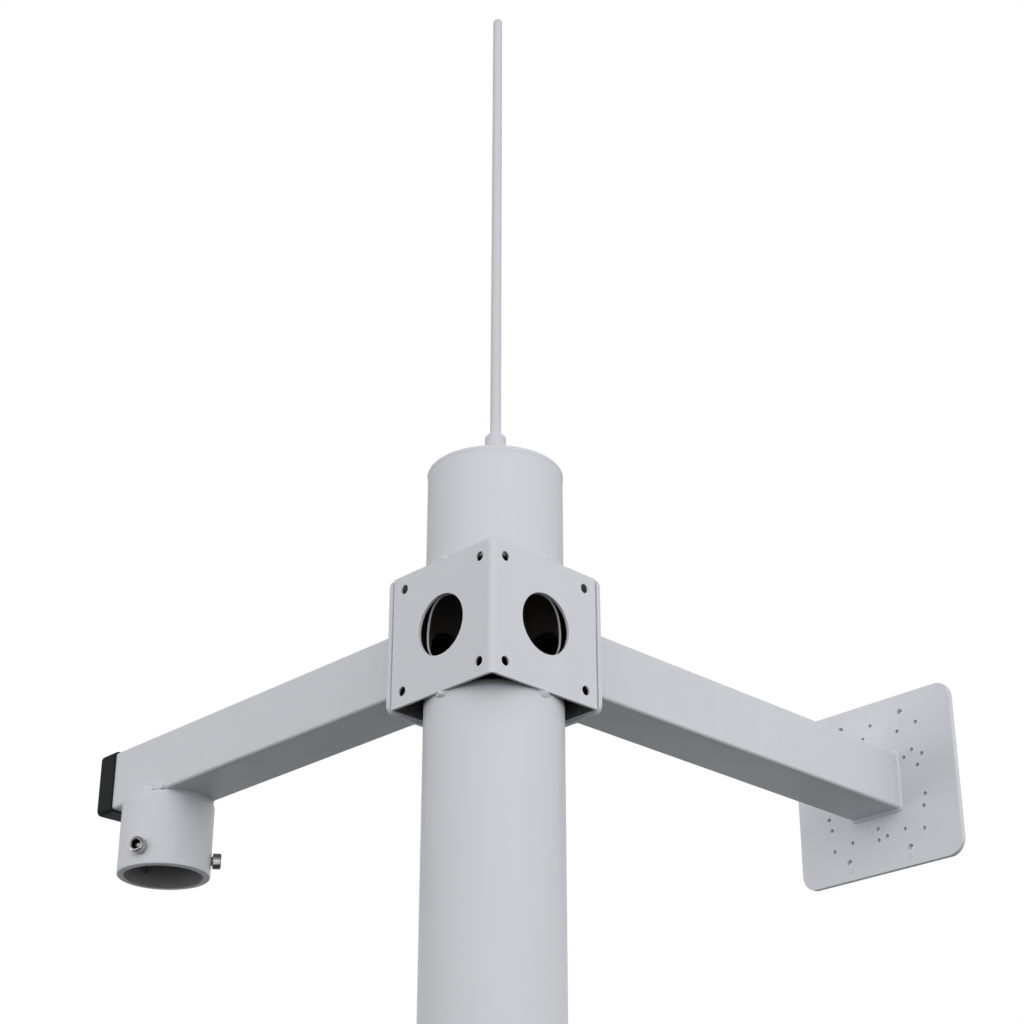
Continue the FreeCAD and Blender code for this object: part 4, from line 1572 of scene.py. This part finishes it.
@dataclass
class Collar(Assembly):
    """The socket collar under the left arm, its top plate, welds and clamp screws."""

    reach: float = 546 * MM
    rim: float = 877 * MM
    outer: float = 53 * MM
    wall: float = 8 * MM
    tube_height: float = 82 * MM
    top_thickness: float = 6 * MM
    shoulder: float = 5 * MM
    rim_round: float = 2 * MM
    cable_hole: float = 15 * MM
    screw_height: float = 21 * MM
    screw_turn: float = -156.0
    screws: int = 3
    screw_hole: float = 6.05 * MM
    coat_and_shade_start: float = 1.5
    coat_and_shade_loss: float = 2.0
    shade_under_top: float = 3.5
    nick_turn: float = 168.0
    nick_size: float = 4 * MM
    restarts: tuple[tuple[float, Vector], ...] = (
        (542 * MM, Vector((5, 7.5, 7.4)) * MM), (517 * MM, Vector((4.6, 8, 6.6)) * MM))
    segments: int = 192

    @property
    def lift(self) -> Matrix:
        """The move from the collar's own axis to its place."""
        return lifted(0, self.reach, self.rim)

    def screw_angle(self, number: int) -> float:
        """The direction of a screw, in radians."""
        return math.radians(self.screw_turn + 360 / self.screws * number)

    def build(self) -> list[Piece]:
        """Builds the collar, its top, its welds and the three screws.

        Returns:
            The screws.
        """
        self._tube()
        self._top()
        self._welds()
        return [ClampScrew(self.shop, number + 1, self.screw_angle(number), self).build()
                for number in range(self.screws)]

    def _tube(self) -> None:
        """Turns the tube, taps it for the screws and nicks its rim."""
        bore = self.outer - self.wall
        arc = [(self.outer - self.rim_round * (1 - math.cos(a)),
                self.rim_round * (1 - math.sin(a))) for a in reversed(quarter_turn(6))]
        middle = 2 * self.screw_height
        profile = [(bore, 0.5 * MM), (bore + 0.5 * MM, 0), *arc, (self.outer, middle),
                   (self.outer, self.tube_height), (bore, self.tube_height), (bore, middle)]
        tube = lathe("collar_tube", profile, self.segments)
        rays = [ray_at(self.screw_angle(number)) for number in range(self.screws)]
        cut_away(tube, [drill(self.screw_hole, 3 * self.wall, lifted(
            *(ray * (self.outer - self.wall / 2) + UP * self.screw_height)) @ pointed(ray))
            for ray in rays])
        nick = ray_at(math.radians(self.nick_turn))
        for vertex in tube.data.vertices:
            flat = Vector((vertex.co.x, vertex.co.y, 0))
            near = (flat - nick * self.outer).length
            if near < self.nick_size and vertex.co.z < 2 * MM:
                vertex.co -= nick * 0.7 * MM * (1 - near / self.nick_size)
        evenly_shaded(turned(tube, self.lift), 40.0)
        skin = bore + self.wall / 8

        def is_inside(face: bpy.types.MeshPolygon) -> bool:
            """Whether a face belongs to the bore."""
            flat = Vector((face.center.x, face.center.y - self.reach, 0))
            return flat.length < skin and flat.dot(face.normal) < -FACING * flat.length

        # The bore takes the darker coat: thin paint and painted shade.
        choose_materials(tube, is_inside)
        mark_paint_fade(tube, self._inside_coat_and_shade_depth)
        self.shop.register(tube, "camera_collar", Slot.PAINT, self.shop.paint, self.shop.shaded_thin_coat)

    def _inside_coat_and_shade_depth(self, spot: Vector, normal: Vector) -> float:
        """How thin the coat is at a corner of the collar's inside, and how much shade is painted there,
        darker further from the rim.

        Args:
            spot: The corner's place.
            normal: Its face's normal.

        Returns:
            The depth that the paint's fade reads, or 0 on the outside.
        """
        flat = Vector((spot.x, spot.y - self.reach, 0))
        if flat.dot(normal) > -FACING * flat.length:
            return 0.0
        return self.coat_and_shade_start + self.coat_and_shade_loss * (spot.z - self.rim) / self.tube_height

    def _top(self) -> None:
        """Turns the top plate with its rounded shoulder."""
        low = self.tube_height
        high = low + self.top_thickness
        arc = [(self.outer - self.shoulder * (1 - math.cos(a)),
                high - self.shoulder * (1 - math.sin(a))) for a in quarter_turn(8)]
        profile = [(self.cable_hole, low), (self.outer, low), *arc, (self.cable_hole, high)]
        top = turned(lathe("collar_top", profile, self.segments), self.lift)
        evenly_shaded(top, 40.0)
        # The plate's underside inside the bore is made dark as painted shade.
        choose_materials(top, lambda face: face.normal.z < -LEVEL)
        mark_paint_fade(top, lambda spot, normal: self.shade_under_top * (normal.z < -LEVEL))
        self.shop.register(top, "collar_top_plate", Slot.PAINT, self.shop.paint, self.shop.shaded_thin_coat)

    def _welds(self) -> None:
        """Lays a bead along each side of the arm and one under it at each end."""
        ledge = self.rim + self.tube_height + self.top_thickness
        flat = self.outer - self.shoulder
        half_run = math.sqrt(flat ** 2 - self.arm_half ** 2)
        limit = math.asin((self.arm_half - MM) / flat)
        shares = [2 * number / 110 - 1 for number in range(111)]
        pieces = []
        for side in (-1, 1):
            out = Vector((side, 0, 0))
            root = self.arm_half - 1.2 * MM
            stations = [Station(Vector((side * root, self.reach + half_run * share, ledge)),
                                out, UP) for share in shares]
            pieces.append(weld_bead("side", stations, BeadShape(
                7.2 * MM, 9.6 * MM, 1.05, 0.1, 4.2 * MM, 0.28, 6.0 + side), False))
            for number, (along, size) in enumerate(self.restarts):
                spot = Vector((side * (self.arm_half + 0.8 * MM), along, ledge + size.z / 2))
                pieces.append(lump("restart", spot, size, 4.7 * number + side, 0.16))
            rays = [ray_at(side * math.pi / 2 + limit * share) for share in shares]
            stations = [Station(ray * (flat - MM) + Vector((0, self.reach, ledge)), ray, -UP)
                        for ray in rays]
            pieces.append(weld_bead("under", stations, BeadShape(
                5.6 * MM, 4.6 * MM, 1.1, 0.08, 3.2 * MM, 0.25, 9.0 + side), False))
        weld = evenly_shaded(joined("collar_beads", pieces), 70.0)
        self.shop.register(weld, "collar_weld", Slot.PAINT, self.shop.bead_paint)


@dataclass
class ClampScrew(Assembly):
    """One socket cap screw with a knurled head and a thread."""

    number: int
    angle: float
    collar: Collar
    radius: float = 6 * MM
    pitch: float = 1.75 * MM
    standoff: float = 1.2 * MM
    recess: float = 0.2 * MM
    head_radius: float = 9 * MM
    head_height: float = 10 * MM
    key: float = 10 * MM
    key_depth: float = 6 * MM
    chamfer: float = 1 * MM
    ridges: int = 56
    knurl: float = 0.16 * MM

    def build(self) -> Piece:
        """Builds the head with its socket and the shank with its thread.

        Returns:
            The screw.
        """
        low = self.collar.outer + self.standoff
        high = low + self.head_height
        tip = self.collar.outer - self.collar.wall + self.recess
        head = self._head(low, high)
        # The socket's walls and outer floor take the dark metal as painted shade; the floor's centre stays
        # plain steel.
        choose_materials(head, lambda face: (
            self.key * 0.2 < face.center.to_2d().length < self.key * 0.56
            and high - self.key_depth - 2 * MM < face.center.z < high - 0.4 * MM))
        shank = threaded_shank(self.radius, self.pitch, tip, low, 48)
        choose_materials(shank, lambda face: 2 * (face.center.z < tip + self.pitch))
        screw = joined("socket_screw_%d" % self.number, [head, shank])
        place = lifted(0, self.collar.reach, self.collar.rim + self.collar.screw_height)
        evenly_shaded(turned(screw, place @ pointed(ray_at(self.angle))), 32.0)
        self.shop.register(screw, "clamp_screw_%d" % self.number, Slot.STAINLESS, self.shop.stainless,
                           self.shop.socket_shade, self.shop.dull_tip)
        return screw

    def _head(self, low: float, high: float) -> Piece:
        """Turns the knurled head and sinks its hexagonal socket.

        Args:
            low: The head's underside.
            high: The head's face.

        Returns:
            The head.
        """
        floor = high - self.key_depth
        mouth = self.key / 2 / math.cos(math.radians(30)) + 0.25 * MM
        outside = self.head_radius
        plan: list[tuple[float, float, str]] = [
            (0, low, "plain"), (outside - 0.6 * MM, low, "plain"),
            (outside - 0.15 * MM, low + 0.5 * MM, "plain"), (outside, low + 1.2 * MM, "knurl"),
            (outside, high - self.chamfer - 0.9 * MM, "knurl"),
            (outside - 0.2 * MM, high - self.chamfer, "plain"),
            (outside - self.chamfer, high - 0.1 * MM, "plain"),
            (outside - self.chamfer - 0.3 * MM, high, "plain"), (mouth, high, "plain"),
            (self.key / 2, high - 0.6 * MM, "socket"), (self.key / 2, floor, "socket"),
            (self.key / 4, floor - 0.7 * MM, "plain"), (0, floor - 1.4 * MM, "plain")]

        def radius_at(number: int, radius: float, angle: float) -> float:
            """The radius of one corner, knurled or hexagonal where the plan says so.

            Args:
                number: The corner's number.
                radius: Its radius in the plan.
                angle: The angle round the head.

            Returns:
                The radius.
            """
            kind = plan[number][2]
            if kind == "knurl":
                return radius - self.knurl * (0.5 - 0.5 * math.cos(self.ridges * angle))
            return hexagon_reach(self.key, angle) if kind == "socket" else radius

        return lathe("head", [corner[:2] for corner in plan], 4 * self.ridges, radius_at)


# The camera plate


@dataclass
class CameraPlate(Assembly):
    """The drilled plate at the right arm's end, with its bead and paint runs."""

    start: float = 623 * MM
    thickness: float = 8 * MM
    width: float = 230 * MM
    height: float = 210 * MM
    corner: float = 20 * MM
    cable_hole: float = 25 * MM
    stud_hole: float = 3.7 * MM
    screw_hole: float = 2.4 * MM
    rear_round: float = 0.8 * MM
    front_round: float = 3 * MM
    studs: Point = (44 * MM, 83 * MM)
    squares: tuple[Point, ...] = ((65 * MM, 65 * MM), (38 * MM, 60 * MM), (70 * MM, 24.5 * MM))
    rings: tuple[tuple[float, float, int], ...] = ((51.5 * MM, 30.0, 3), (65 * MM, 30.0, 3),
                                                   (77 * MM, 90.0, 3), (64 * MM, -11.0, 4))
    run_size: Vector = field(default_factory=lambda: Vector((0.5, 3.4, 5.6)) * MM)
    weld_leg: float = 3 * MM

    def _holes(self) -> list[tuple[Matrix, float]]:
        """Every hole's place from the arm's line, and its radius.

        Returns:
            The holes.
        """
        holes = [(lifted(0, 0, 0), self.cable_hole)]
        holes += [(spot, self.stud_hole) for spot in four_places(*self.studs)]
        for pair in self.squares:
            holes += [(spot, self.screw_hole) for spot in four_places(*pair)]
        for reach, turn, count in self.rings:
            for number in range(count):
                ray = ray_at(math.radians(turn + 360 * number / count))
                holes.append((lifted(*(ray * reach)), self.screw_hole))
        return holes

    def build(self) -> None:
        """Builds the plate, its bead and the runs of paint below its larger holes."""
        lay = lifted(0, 0, self.head) @ upright_to(Along.X)
        end = self.start + self.thickness
        sections = [(self.start + self.rear_round * (1 - math.cos(a)),
                     self.rear_round * (1 - math.sin(a))) for a in quarter_turn(5)]
        sections += [(end - self.front_round * (1 - math.sin(a)),
                      self.front_round * (1 - math.cos(a))) for a in quarter_turn(5)]
        rings = []
        for level, inset in sections:
            wide = self.width / 2 - inset
            tall = self.height / 2 - inset
            rings.append(at_level(rounded_rectangle((-wide, -tall), (wide, tall),
                                                    self.corner - inset, 16), level))
        plate = turned(skinned("camera_plate_drilled", rings), lay)
        middle = lifted(0, 0, self.start + self.thickness / 2)
        cut_away(plate, [drill(radius, 4 * self.thickness, lay @ spot @ middle, 32)
                         for spot, radius in self._holes()])
        softened(plate, 0.25 * MM, 2, 60)
        runs = []
        for number, side in enumerate((-1, 1)):
            for rise in (-1, 1):
                below = self.head + rise * self.studs[1] - self.stud_hole - 4 * MM
                centre = Vector((self.start - 0.05 * MM, side * self.studs[0], below))
                runs.append(lump("run", centre, self.run_size, 1.7 * number + rise, 0.3))
        plate = evenly_shaded(joined("camera_plate_painted", [plate, *runs]), 50.0)
        self.shop.register(plate, "camera_plate", Slot.PAINT, self.shop.paint)
        place = lay @ lifted(0, 0, self.start) @ Matrix.Diagonal((1, 1, -1, 1))
        arm = rounded_square(self.arm_half, self.arm_corner)
        bead = weld_bead("camera_plate_bead", outline_stations(arm, place), BeadShape(
            self.weld_leg, self.weld_leg, 1.25, 0.1, 2.6 * MM, 0.14, 11.0), True)
        self.shop.register(bead, "camera_plate_weld", Slot.PAINT, self.shop.bead_paint)


# The studio


@dataclass
class Studio:
    """The camera at the photograph's place, a pale floor and soft light."""

    image_px: float = 1024.0
    sensor_mm: float = 36.0
    focal_px: float = 2110.5
    camera: Vector = field(default_factory=lambda: Vector((-1.344, -1.4127, 0.1789)))
    heading_deg: float = 45.916
    pitch_deg: float = 26.427
    roll_deg: float = 0.077
    far_clip: float = 200.0
    floor_radius: float = 40.0
    floor_colour: Colour = (0.74, 0.74, 0.75, 1)
    floor_near: Colour = (0.08, 0.08, 0.081, 1)
    floor_far: Colour = (0.86, 0.86, 0.87, 1)
    floor_reach: Point = (1.1, 3.4)
    floor_roughness: float = 0.9
    floor_specular: float = 0.2
    sky_strength: float = 1.25
    sky_front: tuple[float, float, float] = (-0.48, -0.86, 0.15)
    sky_front_gain: float = 0.8
    ceiling_gloss: float = 0.15
    ceiling_light: float = 0.5
    ceiling_rise: Point = (0.15, 0.6)
    key_direction: Vector = field(default_factory=lambda: Vector((0.5, 0.9, -0.35)))
    key_strength: float = 0.42
    key_angle_deg: float = 60.0
    fill_place: Vector = field(default_factory=lambda: Vector((0.15, 0.36, 0.93)))
    fill_target: Vector = field(default_factory=lambda: Vector((0.62, 0.03, 0.95)))
    fill_power: float = 0.19
    fill_size: float = 0.3
    fill_spread_deg: float = 80.0
    strips: tuple[tuple[Vector, Vector, float], ...] = (
        (Vector((-0.37, -0.28, 0.46)), Vector((0.05, 0.51, 0.9)), 1.2),
        (Vector((-0.52, 1.38, 0.72)), Vector((-0.05, 0.52, 0.9)), 1.6))
    strip_size: Point = (0.5, 0.14)

    def build(self) -> None:
        """Sets the camera, the floor, the world, the key light and the fill light."""
        self._camera()
        self._floor()
        self._world()
        self._lamp("key", "SUN", Vector(), self.key_direction, self.key_strength, ["glossy"],
                   angle=math.radians(self.key_angle_deg))
        self._lamp("fill", "AREA", self.fill_place, self.fill_target - self.fill_place,
                   self.fill_power, ["glossy", "camera"], size=self.fill_size,
                   spread=math.radians(self.fill_spread_deg))
        bpy.context.scene.view_settings.view_transform = "Standard"

    def light_strips(self, pieces: Iterable[Piece]) -> None:
        """Adds narrow lights that only the given shiny pieces mirror.

        Args:
            pieces: The pieces.
        """
        mirrors = bpy.data.collections.new("mirrors")
        for piece in pieces:
            mirrors.objects.link(piece)
        for number, (place, target, power) in enumerate(self.strips):
            strip = self._lamp("strip_%d" % number, "AREA", place, target - place, power,
                               ["camera", "diffuse"], shape="RECTANGLE",
                               size=self.strip_size[0], size_y=self.strip_size[1])
            strip.light_linking.receiver_collection = mirrors

    @staticmethod
    def _lamp(name: str, kind: str, place: Vector, direction: Vector, energy: float,
              hidden: Sequence[str], **settings: object) -> Piece:
        """Hangs a lamp.

        Args:
            name: The lamp's name.
            kind: Its kind.
            place: Where it hangs.
            direction: Where it shines.
            energy: How much it gives.
            hidden: The kinds of ray that don't see it.
            **settings: Its other options.

        Returns:
            The lamp.
        """
        data = bpy.data.lights.new(name, kind)
        data.energy = energy
        for label, value in settings.items():
            setattr(data, label, value)
        lamp = linked(name, data)
        for ray in hidden:
            setattr(lamp, "visible_" + ray, False)
        lamp.matrix_world = lifted(*place) @ pointed(direction, "-Z")
        return lamp

    def _camera(self) -> None:
        """Places the camera."""
        data = bpy.data.cameras.new("view")
        data.sensor_width = self.sensor_mm
        data.lens = self.focal_px / self.image_px * self.sensor_mm
        data.clip_end = self.far_clip
        camera = linked("view", data)
        pitch = math.radians(self.pitch_deg)
        forward = ray_at(math.radians(self.heading_deg)) * math.cos(pitch) + UP * math.sin(pitch)
        roll = Matrix.Rotation(math.radians(self.roll_deg), 4, "Z")
        camera.matrix_world = lifted(*self.camera) @ pointed(forward, "-Z") @ roll
        bpy.context.scene.camera = camera

    def _floor(self) -> None:
        """Lays a wide pale floor that keeps the shadow."""
        floor = lathe("pale_floor", [(0, -0.02), (self.floor_radius, -0.02),
                                     (self.floor_radius, 0), (0, 0)], 96)
        material, graph, shader = new_material("pale_floor")
        place = graph.add("TexCoord").outputs["Object"]
        reach = graph.add("VectorMath", {0: place}, operation="LENGTH").outputs["Value"]
        far = graph.add("MapRange", {"Value": reach, "From Min": self.floor_reach[0],
                                     "From Max": self.floor_reach[1]})
        bounce = graph.mixed(far.outputs["Result"], self.floor_near, self.floor_far)
        seen = graph.add("LightPath").outputs["Is Camera Ray"]
        graph.feed(shader, {"Base Color": graph.mixed(seen, bounce, self.floor_colour),
                            "Roughness": self.floor_roughness,
                            "Specular IOR Level": self.floor_specular})
        floor.data.materials.append(material)

    def _world(self) -> None:
        """A soft surround, brighter in front and dimmer above, plain white where it is seen."""
        world = bpy.data.worlds.new("soft_surround")
        bpy.context.scene.world = world
        world.use_nodes = True
        graph = Graph(world.node_tree)
        path = graph.add("LightPath").outputs
        place = graph.add("TexCoord").outputs["Generated"]
        facing = graph.add("VectorMath", {0: place, 1: self.sky_front}, operation="DOT_PRODUCT")
        gain = graph.math("MULTIPLY_ADD", facing.outputs["Value"],
                          self.sky_front_gain * self.sky_strength, self.sky_strength)
        height = graph.add("SeparateXYZ", {0: place}).outputs["Z"]
        light, gloss = (graph.add("MapRange", {
            "Value": height, "From Min": self.ceiling_rise[0], "From Max": self.ceiling_rise[1],
            "To Min": 1.0, "To Max": least}).outputs["Result"]
            for least in (self.ceiling_light, self.ceiling_gloss))
        strength = graph.math("MULTIPLY", gain, light)
        strength = graph.mixed(path["Is Glossy Ray"], strength, gloss, "FLOAT")
        strength = graph.mixed(path["Is Camera Ray"], strength, 1.0, "FLOAT")
        graph.feed(world.node_tree.nodes["Background"], {"Color": (1, 1, 1, 1),
                                                         "Strength": strength})


def main() -> None:
    """Builds the mast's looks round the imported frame, and the studio round the mast."""
    logging.basicConfig(level=logging.INFO, format="%(name)s: %(message)s")
    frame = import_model()
    shop = Workshop(frame)
    studio = Studio()
    studio.build()
    Pole(shop).build()
    LightningRod(shop).build()
    Bracket(shop).build()
    right = Arm(shop, Along.X, "right", 545 * MM)
    right.build()
    collar = Collar(shop)
    opening = lifted(0, collar.reach, right.head - right.arm_half)
    left = Arm(shop, Along.Y, "left", 558 * MM)
    left.build([drill(collar.cable_hole, 4 * right.wall, opening)])
    EndCap(shop).build()
    studio.light_strips(collar.build())
    CameraPlate(shop).build()


if __name__ == "__main__":
    main()
